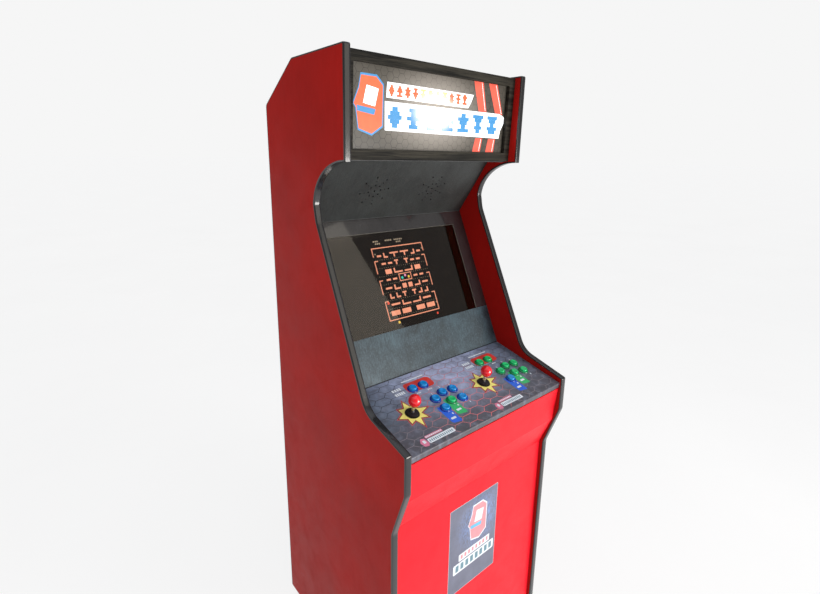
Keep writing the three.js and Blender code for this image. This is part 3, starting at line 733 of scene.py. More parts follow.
def make_edge_trim(side):
    """Domed T-moulding: crown over the board's edge, thin lips, and the spine in its slot."""
    node = f"side_panel_{side}"
    low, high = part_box(node)
    middle, half = (low.x + high.x) / 2 / MM, (high.x - low.x) / 2 / MM
    run = smooth_run(panel_outline(node))
    inward = 1.3 if side == "left" else 0.15  # the lip overhangs the inner face a little
    left, right = half + (1.45 - inward), half + inward
    crown, spine = 3.5, 7.0
    dome = [(0.0, 1.5), (0.75, 2.6), (2.15, 3.2), (4.65, 3.42)]
    profile = ([(-0.8, -spine), (-0.8, 0.1), (-half - 0.02, 0.1), (-half - 0.02, -0.9),
                (-left, -0.9)] + [(x - left, n) for x, n in dome] + [(0, crown)]
               + [(right - x, n) for x, n in dome[::-1]]
               + [(right, -0.9), (half + 0.02, -0.9), (half + 0.02, 0.1),
                  (0.8, 0.1), (0.8, -spine)])
    shape = Shape()
    rings = []
    for i, point in enumerate(run):
        ways = [b - a for a, b in zip(run[max(0, i - 1):i + 2], run[max(0, i - 1) + 1:i + 2])]
        normals = [Vector((-way.y, way.x)).normalized() for way in ways]
        out = sum(normals, Vector((0, 0))).normalized()
        reach = 1 / max(0.5, out.dot(normals[0]))
        rings.append([shape.bm.verts.new((middle + x, *(point + out * n * reach)))
                      for x, n in profile])
    for a, b in zip(rings, rings[1:]):
        for i in range(len(profile)):
            j = (i + 1) % len(profile)
            shape.face((a[i], a[j], b[j], b[i]))
    shape.face(rings[0])
    shape.face(rings[-1][::-1])
    piece(f"trim_{side}", shape, [LOOKS["edge_trim"]],
          replaces=[f"edge_trim_{side}"])


# ---- control deck ----
PLAYERS = {tag: deck.middle(f"{tag}_joystick_ball") for tag in ("p1", "p2")}
BUTTONS = {name: deck.middle(name) for name in frame["nodes"] if "_button_" in name
           and not name.endswith("_bank")}
HALF_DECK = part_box("control_panel_overlay")[1].x / MM
HOLE = 14.5
STICK_HOLE = 12.0
SWAPPED = {"p1_action_button_5": "green", "p2_action_button_4": "blue"}


def colour_of(button):
    return SWAPPED.get(button, "blue" if button.startswith("p1") else "green")


def deck_holes(depth_low, depth_high, clearance=0.0):
    shape = Shape()
    for spot in BUTTONS.values():
        shape.prism(circle(spot.x, spot.y, HOLE + clearance), depth_low, depth_high)
    for spot in PLAYERS.values():
        shape.prism(circle(spot.x, spot.y, STICK_HOLE + clearance), depth_low, depth_high)
    return shape


def make_overlay():
    """Printed sheet over the deck, rolled round its front edge."""
    thick, nose, wrap = 1.2, 3.6, 17.0
    outer = [(deck.length, 0.0), *arc((nose, -nose), nose, 90, 180), (0.0, -wrap)]
    inner = [(thick, -wrap), *arc((nose, -nose), nose - thick, 180, 90), (deck.length, -thick)]
    shape = Shape()
    section = outer + inner
    ends = [[shape.bm.verts.new((x, y, z)) for y, z in section]
            for x in (-HALF_DECK, HALF_DECK)]
    for i in range(len(section)):
        j = (i + 1) % len(section)
        shape.face((ends[0][i], ends[0][j], ends[1][j], ends[1][i]))
    shape.face(ends[0])
    shape.face(ends[1][::-1])
    piece("deck_overlay", shape, [LOOKS["deck_print"]], place=deck.matrix,
          replaces=["control_panel_overlay"], cutter=deck_holes(-3, 3))


def honeycomb(half_width, half_height, columns, rows, origin):
    """Edges of a lattice of flat-topped hexagons, each drawn once."""
    corners = [(half_width, 0), (half_width / 2, half_height), (-half_width / 2, half_height),
               (-half_width, 0)]
    for column in range(*columns):
        for row in range(*rows):
            centre = Vector((origin[0] + column * 1.5 * half_width,
                             origin[1] + (2 * row + column % 2) * half_height))
            points = [centre + Vector(corner) for corner in corners]
            yield from zip(points, points[1:])


def kept_parts(start, end, keep, steps=14):
    """The stretches of a line whose every step passes a test."""
    points = [start.lerp(end, i / steps) for i in range(steps + 1)]
    run = []
    for point in points:
        if keep(point):
            run.append(point)
            continue
        if len(run) > 1:
            yield run[0], run[-1]
        run = []
    if len(run) > 1:
        yield run[0], run[-1]


def make_deck_lattice():
    """Hexagon line work printed over the whole deck, open at every hole."""
    holes = [(Vector(spot[:2]), HOLE + 0.8) for spot in BUTTONS.values()]
    holes += [(Vector(spot[:2]), STICK_HOLE + 0.8) for spot in PLAYERS.values()]

    def on_deck(point):
        inside = abs(point.x) < HALF_DECK - 1 and 4.5 < point.y < deck.length - 1
        return inside and all((point - hole).length > radius for hole, radius in holes)

    shape = Shape()
    for start, end in honeycomb(28.4, 13.8, (-8, 11), (-5, 11), (-72.3, 29.7)):
        for a, b in kept_parts(start, end, on_deck):
            shape.bar(a, b, 1.45, 0.02, 0.08)
    middle = deck.at(-20, 95)
    line_ink = lattice_ink("lattice_ink", deck, srgb(134, 126, 134), srgb(54, 56, 66),
                           srgb(232, 118, 120), {"centre": middle, "radius": 0.21})
    piece("deck_lattice", shape, [line_ink], place=deck.matrix)


# Artwork round each joystick, in millimetres from it: x across and y up the deck.
BURST = [(61, 0), (37, 38), (5, 57), (-30, 33), (-53, -1), (-30, -37), (0, -62), (37, -37)]
BURST_NOTCH = 31


def burst(scale_tip, notch):
    """Eight-pointed flash with uneven points and even notches between them."""
    points = []
    for i, tip in enumerate(BURST):
        following = BURST[(i + 1) % len(BURST)]
        points.append(Vector(tip) * scale_tip)
        between = Vector(tip).normalized() + Vector(following).normalized()
        points.append(between.normalized() * notch)
    return points


def make_deck_artwork(tag):
    """Printed colour blocks of one player, all plain shapes with no lettering."""
    spot = PLAYERS[tag]
    shape = Shape()
    inks = [RED_INK, YELLOW_INK, WHITE, BLUE_INK, GREEN_INK, PINK_INK, TEAL_INK, DARK_INK,
            BLACK_INK]
    red, yellow, white, blue, green, pink, teal, dark, black = range(len(inks))
    LOW, MIDDLE, TOP = (0.10, 0.16), (0.18, 0.24), (0.26, 0.32)

    def print_at(outline, levels, colour):
        shape.prism([(spot.x + x, spot.y + y) for x, y in outline], *levels, colour)

    def bars(x, y, count, colour, levels=MIDDLE, gap=0.28):
        pitch = (x[1] - x[0]) / count
        for i in range(count):
            left = x[0] + i * pitch
            print_at(rounded((left, left + pitch * (1 - gap)), y, 0.6, 2), levels, colour)

    print_at(burst(1.0, BURST_NOTCH), LOW, red)
    print_at(burst(0.93, BURST_NOTCH - 2.4), MIDDLE, dark)
    print_at(burst(0.84, BURST_NOTCH - 5), TOP, yellow)
    print_at(circle(0, 0, 20.5), (0.34, 0.40), black)
    print_at(rounded((47, 145), (66, 108), 13), LOW, red)
    print_at(rounded((54, 136), (115.5, 120), 1), LOW, white)
    bars((5, 37), (91, 101), 4, white)
    bars((4, 38), (73, 84), 5, white)
    bars((65, 80), (55, 60), 3, white)
    bars((104, 122), (54, 59), 3, white)
    for left, front, button, colour in ((73, -82, "4", blue), (111, -64, "5", green)):
        middle = BUTTONS[f"{tag}_action_button_{button}"] - spot
        print_at([(left + 4, front - 2), (left + 30, front - 6), (left + 32, front - 1),
                  (left + 32, middle.y + 6), (left + 27, middle.y + 12), (left, middle.y + 12),
                  (left, front + 3)], LOW, colour)
        print_at(rounded((left + 7, left + 24), (front + 10, front + 17), 1.5, 3), MIDDLE, white)
        print_at(rounded((left + 24, left + 28), (front + 25, front + 31), 1, 2), MIDDLE, white)
    for button, dx, dy in (("1", 7, 22), ("2", 9, 23), ("3", 7, 22), ("6", 9, -23)):
        middle = BUTTONS[f"{tag}_action_button_{button}"] - spot
        print_at(rounded((middle.x + dx - 1.3, middle.x + dx + 1.3),
                         (middle.y + dy - 3.4, middle.y + dy + 3.4), 1, 2), LOW, white)
    badge = [(-52, -96), (-44, -84), (-34, -86), (-30, -104), (-36, -112), (-48, -109)]
    print_at(badge, LOW, pink)
    print_at(rounded((-44, -36), (-101, -91), 2, 3), MIDDLE, white)
    print_at(rounded((-29, 29), (-89, -81), 2, 3), LOW, pink)
    bars((-27, 28), (-87, -83), 9, white)
    print_at(rounded((-29, 60), (-107, -92), 3, 3), LOW, white)
    bars((-25, 57), (-103.5, -96), 13, teal, gap=0.5)
    piece(f"{tag}_deck_artwork", shape, inks, place=deck.matrix,
          cutter=deck_holes(-1, 1, 0.3))


PLUNGER = [(0, -24), (3, -24), (3, -12.5), (11.2, -12.5), (11.7, -12), (11.7, 7.0), (11.5, 8.0),
           (11.0, 8.8), (10.2, 9.25), (9.3, 9.4), (8.2, 9.25), (6.2, 8.85), (3.2, 8.6), (0, 8.5)]
RIM = [(12.1, -30), (12.1, 3.4), (12.5, 3.9), (13.3, 4.15), (14.4, 4.05), (15.4, 3.5),
       (16.2, 2.6), (16.6, 1.4), (16.6, 0.5), (16.3, 0.3), (13.7, 0.3)]
THREAD_PITCH = 1.6
SHAFT_TOP = 30.0  # above the deck, inside the ball


def make_buttons(tag):
    """Plungers on their own bodies; rims, threads, nuts, switches and wiring as one bank."""
    bank = Shape()
    # The rims and nuts take the darker copies of the caps' plastic: painted shade.
    looks = [SHADED_RIM_BLUE, SHADED_RIM_GREEN, LOOKS["black_plastic"], BRASS]
    rim_number = {"blue": 0, "green": 1}
    for name, spot in BUTTONS.items():
        if not name.startswith(tag):
            continue
        colour = colour_of(name)
        plunger = Shape()
        plunger.lathe(PLUNGER, (spot.x, spot.y, 0), 64)
        piece(f"{name}_cap", plunger, [LOOKS[f"{colour}_plastic"]], name,
              deck.matrix, [name])
        at = (spot.x, spot.y, 0)
        threads = [(13.7 - 0.45 * (i % 2), 0.3 - (i + 1) * THREAD_PITCH / 2) for i in range(39)]
        ring = RIM + threads + [(13.7, -33), (3.5, -33), (3.5, -30)]
        bank.lathe(ring, at, 48, rim_number[colour], closed=True)
        nut = [(14.0, -26.2), (17.6, -26.2), (18.4, -25.6), (18.4, -21.4), (17.6, -20.9),
               (14.0, -20.9)]
        bank.lathe(nut, at, 6, rim_number[colour], closed=True)
        x, y = spot.x, spot.y
        bank.block((x - 3.2, x + 3.2), (y - 10, y + 10), (-49, -33.2), 2)
        for side in (-6, 6):
            bank.block((x - 2.4, x + 2.4), (y + side - 0.4, y + side + 0.4), (-54, -48.8), 3)
    piece(f"{tag}_bank", bank, looks,
          place=deck.matrix, replaces=[f"{tag}_button_bank"])
    order = [f"{tag}_admin_button_1", f"{tag}_admin_button_2"]
    order += [f"{tag}_action_button_{n}" for n in (2, 1, 4, 5, 6, 3)]
    points = []
    for name in order:
        spot = BUTTONS[name]
        if points:
            last = points[-1]
            points.append(((last[0] + spot.x) / 2, (last[1] + spot.y) / 2, -62))
        points.append((spot.x, spot.y + 6, -53))
    wire(f"{tag}_ground_wire", points, 0.9, SHEATH, place=deck.matrix)


def make_joystick(tag):
    """Steel shaft and black dust washer, with the round ball top."""
    spot = PLAYERS[tag]
    pivot = next(j for j in frame["joints"] if j["name"] == f"{tag}_joystick_left_right")
    below = -deck.local(pivot["pos_m"]).z
    at = (spot.x, spot.y, -below)
    washer = below + 3.7
    shape = Shape()
    shape.lathe([(0, -27), (6.4, -27), (7, -26.3), (7, -18.5), (6.4, -17.6), (4, -14), (4, -5.4),
                 (6.4, -4), (7, -3.2), (7, 3.2), (6.4, 4), (4.8, 5.6), (4.8, below + 12),
                 (4.6, below + 14), (4.6, below + SHAFT_TOP - 0.5), (4.2, below + SHAFT_TOP),
                 (0, below + SHAFT_TOP)], at, 40, 0)
    across = Matrix.Rotation(math.pi / 2, 3, "X")
    shape.lathe([(0, -16), (1.8, -16), (2, -15.6), (2, 15.6), (1.8, 16), (0, 16)], at, 24, 0,
                turn=across)
    shape.lathe([(5.0, washer), (17.4, washer), (17.9, washer + 0.2), (18, washer + 0.6),
                 (17.7, washer + 1.0), (16.2, washer + 1.25), (9, washer + 1.9),
                 (6.2, washer + 2.6), (5.0, washer + 2.6)], at, 64, 1, closed=True)
    piece(f"{tag}_shaft", shape, [LOOKS["steel"], LOOKS["black_plastic"]],
          f"{tag}_stick", deck.matrix, [f"{tag}_joystick_shaft"])
    ball = Shape()
    radius, socket = 17.5, 5.1
    floor = SHAFT_TOP + 0.3 - spot.z
    neck = math.degrees(math.asin((socket + 0.4) / radius))
    turns = [math.radians(neck + (180 - neck) * i / 32) for i in range(32)]
    profile = [(0, floor), (socket, floor), (socket, -math.sqrt(radius ** 2 - socket ** 2) + 0.5)]
    profile += [(radius * math.sin(t), -radius * math.cos(t)) for t in turns] + [(0, radius)]
    ball.lathe(profile, tuple(spot), 64)
    piece(f"{tag}_ball_top", ball, [LOOKS["red_plastic"]], f"{tag}_stick",
          deck.matrix, [f"{tag}_joystick_ball"])


def make_deck_screws():
    shape = Shape()
    for x in (-HALF_DECK + 9, HALF_DECK - 9):
        shape.screw((x, 139, 0.3), 3.4)
    piece("deck_screws", shape, [LOOKS["black_plastic"]], place=deck.matrix)


# ---- screen ----
WINDOW_HIGH = screen.local(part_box("screen_glass")[1])
WINDOW = {"half": WINDOW_HIGH.x, "bottom": 134.0, "top": 440.0}


def arena(shape, levels, wall, dot):
    """Mirrored arrangement of blocks, bars and dotted lanes, drawn on a seeded plan."""
    draw = random.Random(5)
    centre, base, half, rows, pitch = -3.0, 163.0, 103.0, 8, 26.0
    line, lane = 3.0, 9.0

    def both(x, y, colour=wall):
        shape.block((centre + x[0], centre + x[1]), y, levels, colour)
        if x[0] >= 0:
            shape.block((centre - x[1], centre - x[0]), y, levels, colour)

    for row in range(rows):
        low = base + 14 + row * pitch
        left = 34.0 if row == 4 else 4.0 if row % 2 else 12.0
        while left < half - 24:
            width = draw.choice((16, 24, 34))
            right = min(left + width, half - lane)
            kind = draw.choice(("bar", "elbow", "block", "post", "bar", "elbow"))
            if kind == "bar":
                both((left, right), (low + 5, low + 11))
            elif kind == "block":
                both((left, right), (low, low + 15))
            elif kind == "elbow":
                both((left, right), (low, low + 5))
                both((right - 5, right), (low + 5.1, low + 16))
            else:
                both((left, right), (low + 11, low + 16))
                both(((left + right) / 2 - 2.5, (left + right) / 2 + 2.5), (low, low + 10.9))
            left = right + lane
        for n in range(12):
            x = 5 + n * 8.4
            both((x - 0.8, x + 0.8), (low - 5.6, low - 4.0), dot)
    top = base + rows * pitch + 20
    den = base + 14 + 4 * pitch
    both((-25, 25), (den - 3, den - 0.4))
    both((-25, 25), (den + 19, den + 21.6))
    both((22.4, 25), (den - 0.3, den + 18.9))
    both((-half, half), (base, base + line))
    both((-half, half), (top, top + line))
    for low, high in ((0, 62), (80, 128), (146, 190)):
        both((half - line, half), (base + low + line, base + high))
        both((half - 14, half - line - 0.1), (base + high - line, base + high))
    both((half - line, half), (base + 202, top))


def make_display():
    """Flat display behind the bezel: housing, matt panel and a generic lit labyrinth."""
    high = screen.local(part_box("monitor_panel")[1])
    half, bottom, top = high.x, 118.0, 456.0
    front = -12.3
    housing = Shape()
    housing.prism(rounded((-half, half), (bottom, top), 5), front - 9, front - 0.8)
    housing.prism(rounded((-half + 14, half - 14), (bottom + 14, top - 14), 8), -32, front - 9.2)
    for x in (-50, 50):
        for y in ((bottom + top) / 2 - 50, (bottom + top) / 2 + 50):
            housing.lathe([(0, -34), (5, -34), (5.6, -33.4), (5.6, -31.8), (0, -31.8)],
                          (x, y, 0), 24)
    piece("display_housing", housing, [LOOKS["black_plastic"]],
          place=screen.matrix, replaces=["monitor_panel"], bevel=0.8)
    panel = Shape()
    panel.prism(rounded((-half + 9, half - 9), (bottom + 9, top - 9), 2), front - 0.8,
                front - 0.3)
    piece("display_panel", panel, [panel_dark()],
          place=screen.matrix)
    lit = Shape()
    levels, above = (front - 0.28, front - 0.22), (front - 0.2, front - 0.14)
    arena(lit, levels, 0, 5)
    for x, y, size, colour in ((-20, 284, 8, 1), (-7, 290, 8, 2), (6, 284, 8, 3), (-98, 214, 8, 4),
                               (-76, 150, 8, 3), (84, 148, 7, 4), (-98, 372, 4, 5),
                               (92, 372, 4, 5), (-98, 186, 4, 5), (92, 186, 4, 5)):
        lit.prism(rounded((x, x + size), (y, y + size), size * 0.3, 3), *above, colour)
    for x, y, count in ((-92, 412, 3), (-86, 404, 3), (-46, 412, 4), (-10, 412, 5), (-4, 404, 3)):
        for i in range(count):
            lit.block((x + i * 7, x + i * 7 + 4.6), (y, y + 4.4), levels, 5)
    colours = [srgb(240, 170, 152), srgb(60, 214, 214), srgb(226, 160, 220), srgb(232, 206, 90),
               srgb(226, 84, 66), srgb(170, 166, 160)]
    glows = [phosphor(f"pixels_{i}", colour, 3.6) for i, colour in enumerate(colours)]
    piece("display_picture", lit, glows, place=screen.matrix)


def make_window_surround():
    """Gloss-black sheet round the window, its sawn inner edge in a pale colour that is partly painted highlight,
    and the strips that seal it; the near-black strip in the deck joint is painted shade.
    """
    half, top = HALF_DECK - 0.4, screen.length - 0.4
    w, low, high = WINDOW["half"] + 0.5, WINDOW["bottom"], WINDOW["top"]
    shape = Shape()
    shape.prism([(-half, low), (-w, low), (-w, high), (w, high), (w, low), (half, low),
                 (half, top), (-half, top)], 0.05, 0.85)
    piece("window_surround", shape, [gloss_black("window_surround", srgb(38, 37, 38))],
          place=screen.matrix)
    edge = Shape()
    joint = screen.length
    edge.block((-half, half), (joint - 0.35, joint + 1.2), (-11, 1.3), 1)
    # Near-black strip recessed in the open joint above the deck: painted shade, a shadow line.
    edge.block((-half, half), (-0.3, SHADOW_LINE + 0.3), (-11.5, -2.0), 2)
    # Pale strips along the window's top and sides: the sawn edge, partly a painted highlight.
    edge.block((-w, w), (high - 1.0, high - 0.1), (-0.9, 0.6))
    edge.block((w - 1.0, w - 0.1), (low, high - 1.1), (-0.9, 0.6))
    edge.block((-w + 0.1, -w + 1.0), (low, high - 1.1), (-0.9, 0.6))
    piece("window_edge", edge, [plastic("sawn_edge_highlight", srgb(104, 100, 92), 0.3),
                                plastic("joint_bead", srgb(62, 64, 64), 0.7), SHADE_BLACK],
          place=screen.matrix)


# ---- loudspeakers ----
SPEAKERS = {side: baffle.middle(f"speaker_{side}") for side in ("left", "right")}
STAR_RINGS = ((21, 2.7), (35, 1.7), (49, 2.7))  # radius and hole radius
FIRST_RAY = {"left": 9.5, "right": 23.5}
RAYS = 8


def make_speaker_panel():
    """Baffle board with a drilled star in front of each loudspeaker; the hole walls are near-black painted shade.
    """
    thick = 12
    board = Shape()
    board.block((-HALF_DECK, HALF_DECK), (0.5, baffle.length), (-thick, 0))
    holes = Shape()
    for side, spot in SPEAKERS.items():
        # Material 1 of the cut: near-black painted shade on the hole walls.
        holes.prism(circle(spot.x, spot.y, STAR_RINGS[0][1], 20), -thick - 1, 1, 1)
        for radius, hole in STAR_RINGS:
            for ray in range(RAYS):
                turn = math.radians(FIRST_RAY[side] + ray * 360 / RAYS)
                holes.prism(circle(spot.x + radius * math.cos(turn),
                                   spot.y + radius * math.sin(turn), hole, 20),
                            -thick - 1, 1, 1)
    made = piece("baffle_board", board, [LOOKS["speaker_laminate"], SHADE_BLACK],
                 place=baffle.matrix, replaces=["speaker_panel"], cutter=holes)
    made.data.shade_flat()


def make_speaker(side):
    """Cone loudspeaker: rolled surround, paper cone, dust cap, steel basket and magnet."""
    spot = SPEAKERS[side]
    at = (spot.x, spot.y, -12.3)
    shape = Shape()
    roll = [(47 - 4 * math.cos(math.radians(t)), -6 + 3.4 * math.sin(math.radians(t)))
            for t in range(0, 181, 20)]
    cap = [(13 * math.sin(math.radians(t)), -19 + 6 * math.cos(math.radians(t)))
           for t in range(90, -1, -15)]
    cone = [(51, -3.2), (51, -6)] + roll[::-1] + [(43, -6.2), (13.4, -20)] + cap[:-1] + [(0, -13)]
    shape.lathe(cone + [(0, -13.5)], at, 64, 0)
    shape.lathe([(50.5, -3), (55, -3), (55, -0.3), (51, -0.3), (51, -2.6)], at, 64, 1,
                closed=True)
    shape.lathe([(0, -42), (23, -42), (24, -41), (24, -27), (23, -26), (0, -26)], at, 48, 1)
    for arm in range(4):
        turn = math.radians(45 + 90 * arm)
        way = Vector((math.cos(turn), math.sin(turn)))
        inner, outer = way * 20 + Vector(at[:2]), way * 52 + Vector(at[:2])
        shape.bar(inner, outer, 12, -12.3 - 27.5, -12.3 - 26, 1)
        shape.bar(outer - way * 1.5, outer, 12, -12.3 - 27.5, -12.3 - 3, 1)
    # Near-black disc just behind the baffle: painted shade at the bottoms of the holes.
    shape.prism(circle(spot.x, spot.y, 54), -12.28, -12.08, 2)
    piece(f"loudspeaker_{side}", shape, [LOOKS["black_plastic"], LOOKS["zinc"], SHADE_BLACK],
          place=baffle.matrix, replaces=[f"speaker_{side}"])


# ---- marquee ----
def spool(shape, at, size, draw, levels, colour):
    """Five centred bars, each as wide as neither neighbour: a turned ornament, not a letter."""
    width, step = 0, size[1] / 5
    for row in range(5):
        width = draw.choice([share for share in (0.4, 0.7, 1.0) if share != width])
        margin = size[0] * (1 - width) / 2
        shape.block((at[0] + margin, at[0] + size[0] - margin),
                    (at[1] + row * step, at[1] + (row + 1) * step - 0.02), levels, colour)


EMBLEM = [(-24, 72), (24, 72), (46, 52), (46, -50), (12, -72), (-30, -60), (-38, -8), (-46, 2),
          (-30, 40)]


def emblem(shape, centre, scale, levels, colours):
    """Plain angular badge: rim, body, a slanting pane and a band across it."""
    middle = Vector(centre)
    at = lambda points: [middle + Vector(p) * scale for p in points]
    rim, body, detail = levels
    shape.prism(at(EMBLEM), *rim, colours[0])
    shape.prism(at([Vector(p) * 0.93 for p in EMBLEM]), *body, colours[1])
    shape.prism(at([(-6, 46), (30, 40), (20, -2), (-16, 4)]), *detail, colours[2])
    shape.prism(at([(-34, -2), (22, -8), (18, -22), (-33, -15)]), *detail, colours[3])


def make_marquee():
    """Back-lit sign: honeycomb ground, generic badge, rows of spools and slanting stripes."""
    half, bottom, top = 283.6, 26.4, 224.6
    ground = -12.28
    sign = lambda name, colour, lit, *glow: lit_ink(name, colour, GLOW_CENTRE, lit, *glow)
    lines = Shape()

    def in_sign(point):
        return abs(point.x) < half and bottom < point.y < top

    for start, end in honeycomb(12.4, 10.7, (-17, 18), (-3, 12), (0, 0)):
        for a, b in kept_parts(start, end, in_sign, 8):
            lines.bar(a, b, 1.1, ground + 0.02, ground + 0.06)
    piece("marquee_lattice", lines, [sign("sign_line", srgb(46, 43, 38), 0.04, 0.15, 0.14,
                                                 0.3)],
          place=header.matrix)

    inks = [sign("sign_white", srgb(240, 242, 244), 0.75),
            sign("sign_orange", srgb(232, 100, 62), 0.25),
            sign("sign_blue", srgb(66, 136, 190), 0.2),
            sign("sign_coral", srgb(232, 92, 74), 0.3),
            sign("sign_amber", srgb(246, 190, 124), 0.4)]
    white, orange, blue, coral, amber = range(len(inks))
    low, middle, high = ((ground + a, ground + a + 0.06) for a in (0.10, 0.20, 0.30))
    shape = Shape()
    emblem(shape, (-232, 131), 1.0, (low, middle, high), (blue, orange, white, blue))
    for x0, x1, y0, y1, lean, colour in (
            (138, 178, 144, 226, -28, coral), (202, 241, 140, 226, -40, coral),
            (150, 184, 27, 67, 10, coral), (209, 245, 27, 67, 9, coral)):
        stripe = [(x0 - lean, y0), (x1 - lean - 6, y0), (x1, y1), (x0, y1)]
        if y0 < 60:
            stripe = [(x0, y0), (x1, y0), (x1 + lean - 4, y1), (x0 + lean, y1)]
        shape.prism(stripe, *low, colour)
        a, b = Vector(stripe[1]), Vector(stripe[2])
        shape.bar(a - Vector((6, -3)), b - Vector((6, 3)), 1.6, *middle, white)
    shape.prism([(-178, 153), (120, 149), (132, 168), (140, 187), (-176, 190)], *middle, white)
    shape.prism([(-180, 74), (266, 69), (270, 92), (291, 127), (282, 134), (262, 142),
                 (-182, 144)], *high, white)
    draw = random.Random(3)
    for i in range(11):
        x = -171 + i * 26.5
        spool(shape, (x, 157), (19, 27), draw, (middle[1] + 0.1, middle[1] + 0.14),
              amber if 4 <= i <= 7 else orange)
    for i in range(7):
        x = -172 + i * 63
        spool(shape, (x, 81), (46, 52), draw, (high[1] + 0.04, high[1] + 0.08), blue)
    piece("marquee_artwork", shape, inks, place=header.matrix)


def make_marquee_lamp():
    """LED batten: aluminium tray, end clips and a frosted tube."""
    low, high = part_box("marquee_lamp")
    x0, x1 = low.x / MM, high.x / MM
    y, base = (low.y + high.y) / 2 / MM, low.z / MM
    shape = Shape()
    shape.block((x0, x1), (y - 20, y + 20), (base, base + 17), 0)
    for end in (x0 + 4, x1 - 16):
        shape.block((end, end + 12), (y - 8, y + 8), (base + 17.2, base + 43), 0)
    shape.lathe([(0, x0 + 10), (7.4, x0 + 10), (8, x0 + 11), (8, x1 - 11), (7.4, x1 - 10),
                 (0, x1 - 10)], (0, y, base + 34), 40, 1,
                turn=Matrix.Rotation(math.pi / 2, 3, "Y"))
    piece("lamp_batten", shape, [LOOKS["grey_paint"], LOOKS["lamp"]],
          replaces=["marquee_lamp"], bevel=0.5)


# ---- front sticker ----
def sticker_ground(centre):
    """Printed vinyl: slate with a soft blue haze behind the badge."""
    look = Look("sticker_ground", {"Coat Weight": 0.3, "Coat Roughness": 0.25})
    haze = look.spread(look.away_from(centre), 0.12, 0.02, smooth=True)
    weave = look.noise(1, 4, 0.6, vector=look.place((160, 1, 60)), distortion=1.5)
    cloud = look.noise(22, 4)
    tone = look.tint(cloud, 0.3, 0.7, srgb(84, 88, 108), srgb(104, 108, 128))
    haze_spots = look.maths("MULTIPLY", haze, look.spread(weave, 0.4, 0.65))
    look.colour(look.mix(haze_spots, tone, srgb(122, 150, 206)))
    look.roughness(cloud, 0.3, 0.7, 0.3, 0.42)
    look.bump(look.noise(380, 2), 0.0001)
    return look.material


def make_sticker():
    """Vinyl badge on the kick panel, with a plain hexagonal emblem and two plaques."""
    top = 579.0
    inks = [sticker_ground(kick.at(20, top - 90)), ink("sticker_edge", srgb(170, 196, 206)),
            ink("sticker_rose", srgb(226, 140, 148)), ink("sticker_sky", srgb(96, 176, 214)),
            WHITE, TEAL_INK]
    ground, edge, rose, sky, white, teal = range(len(inks))
    shape = Shape()
    shape.prism(rounded((-108, 98), (top - 300, top), 2, 3), 0.02, 0.12, edge)
    shape.prism(rounded((-106.8, 96.8), (top - 298.8, top - 1.2), 2, 3), 0.14, 0.20, ground)
    emblem(shape, (10, top - 92), 0.9, ((0.22, 0.26), (0.28, 0.32), (0.34, 0.38)),
           (white, rose, white, sky))
    shape.prism(rounded((-66, 70), (top - 194, top - 170), 3, 3), 0.28, 0.32, white)
    shape.prism(rounded((-88, 90), (top - 232, top - 198), 4, 3), 0.28, 0.32, white)
    for i in range(8):
        x = -58 + i * 16
        shape.prism(rounded((x, x + 9), (top - 189, top - 175), 1.5, 3), 0.34, 0.38, rose)
    for i in range(8):
        x = -78 + i * 21
        shape.prism(rounded((x, x + 13), (top - 226, top - 204), 2, 3), 0.34, 0.38, teal)
    piece("kick_sticker", shape, inks, place=kick.matrix)


# ---- rear and underside ----
BACKWARD = Matrix.Rotation(-math.pi / 2, 3, "X")  # turns +z to +y


def make_rear_screws():
    """Cross-head screws round the rear wall and along the hinge leaves."""
    low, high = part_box("rear_frame_panel")
    wall = high.y / MM
    shape = Shape()
    for x in (-295, 295):
        for n in range(8):
            z = low.z / MM + 30 + n * (high.z - low.z - 0.06) / MM / 7
            shape.screw((x, wall + 0.05, z), 4.2, turn=BACKWARD)
    for x in (-150, 0, 150):
        for z in (low.z / MM + 22, high.z / MM - 40):
            shape.screw((x, wall + 0.05, z), 4.2, turn=BACKWARD)
    piece("rear_screws", shape, [LOOKS["zinc"]])


def make_hinge():
    """Piano hinge: two leaves, alternate knuckles and a pin, with screw heads."""
    looks = [LOOKS["steel"], LOOKS["zinc"]]
    fixed_low, fixed_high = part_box("hinge_fixed_leaf")
    door_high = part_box("hinge_door_leaf")[1]
    joint = next(j for j in frame["joints"] if j["name"] == "rear_door_hinge")
    axis_x, axis_y = joint["pos_m"][0] / MM, joint["pos_m"][1] / MM
    bottom, top = fixed_low.z / MM, fixed_high.z / MM
    face = fixed_low.y / MM
    radius, pin, gap, plate, knuckles = 3.3, 1.6, 0.3, 1.5, 5
    length = (top - bottom) / knuckles
    leaves = (("hinge_fixed_leaf", -1, (0, 2, 4), fixed_low.x / MM, "cabinet"),
              ("hinge_door_leaf", 1, (1, 3), door_high.x / MM, "door"))
    for node, side, own, far, body in leaves:
        shape = Shape()
        near = axis_x + side * 4
        shape.block(sorted((near, far)), (face, face + plate), (bottom, top))
        for n in own:
            low = bottom + n * length + gap
            high = low + length - 2 * gap
            hollow = pin + gap if side > 0 else 0.0
            ring = [(radius, low), (radius, high)]
            if hollow:
                ring += [(hollow, high), (hollow, low)]
            else:
                ring = [(0, low)] + ring + [(0, high)]
            shape.lathe(ring, (axis_x, axis_y, 0), 32, closed=bool(hollow))
            shape.block(sorted((near + side * 0.01, axis_x + side * 2.2)), (face, face + plate),
                        (low, high))
        if side < 0:
            shape.lathe([(0, bottom), (pin, bottom), (pin, top), (0, top)],
                        (axis_x, axis_y, 0), 20)
        for n in range(10):
            z = bottom + (n + 0.5) * (top - bottom) / 10
            shape.screw(((near + far) / 2, face + plate + 0.05, z), 3.2, 1, BACKWARD)
        piece(f"{node}_rolled", shape, looks, body, replaces=[node])


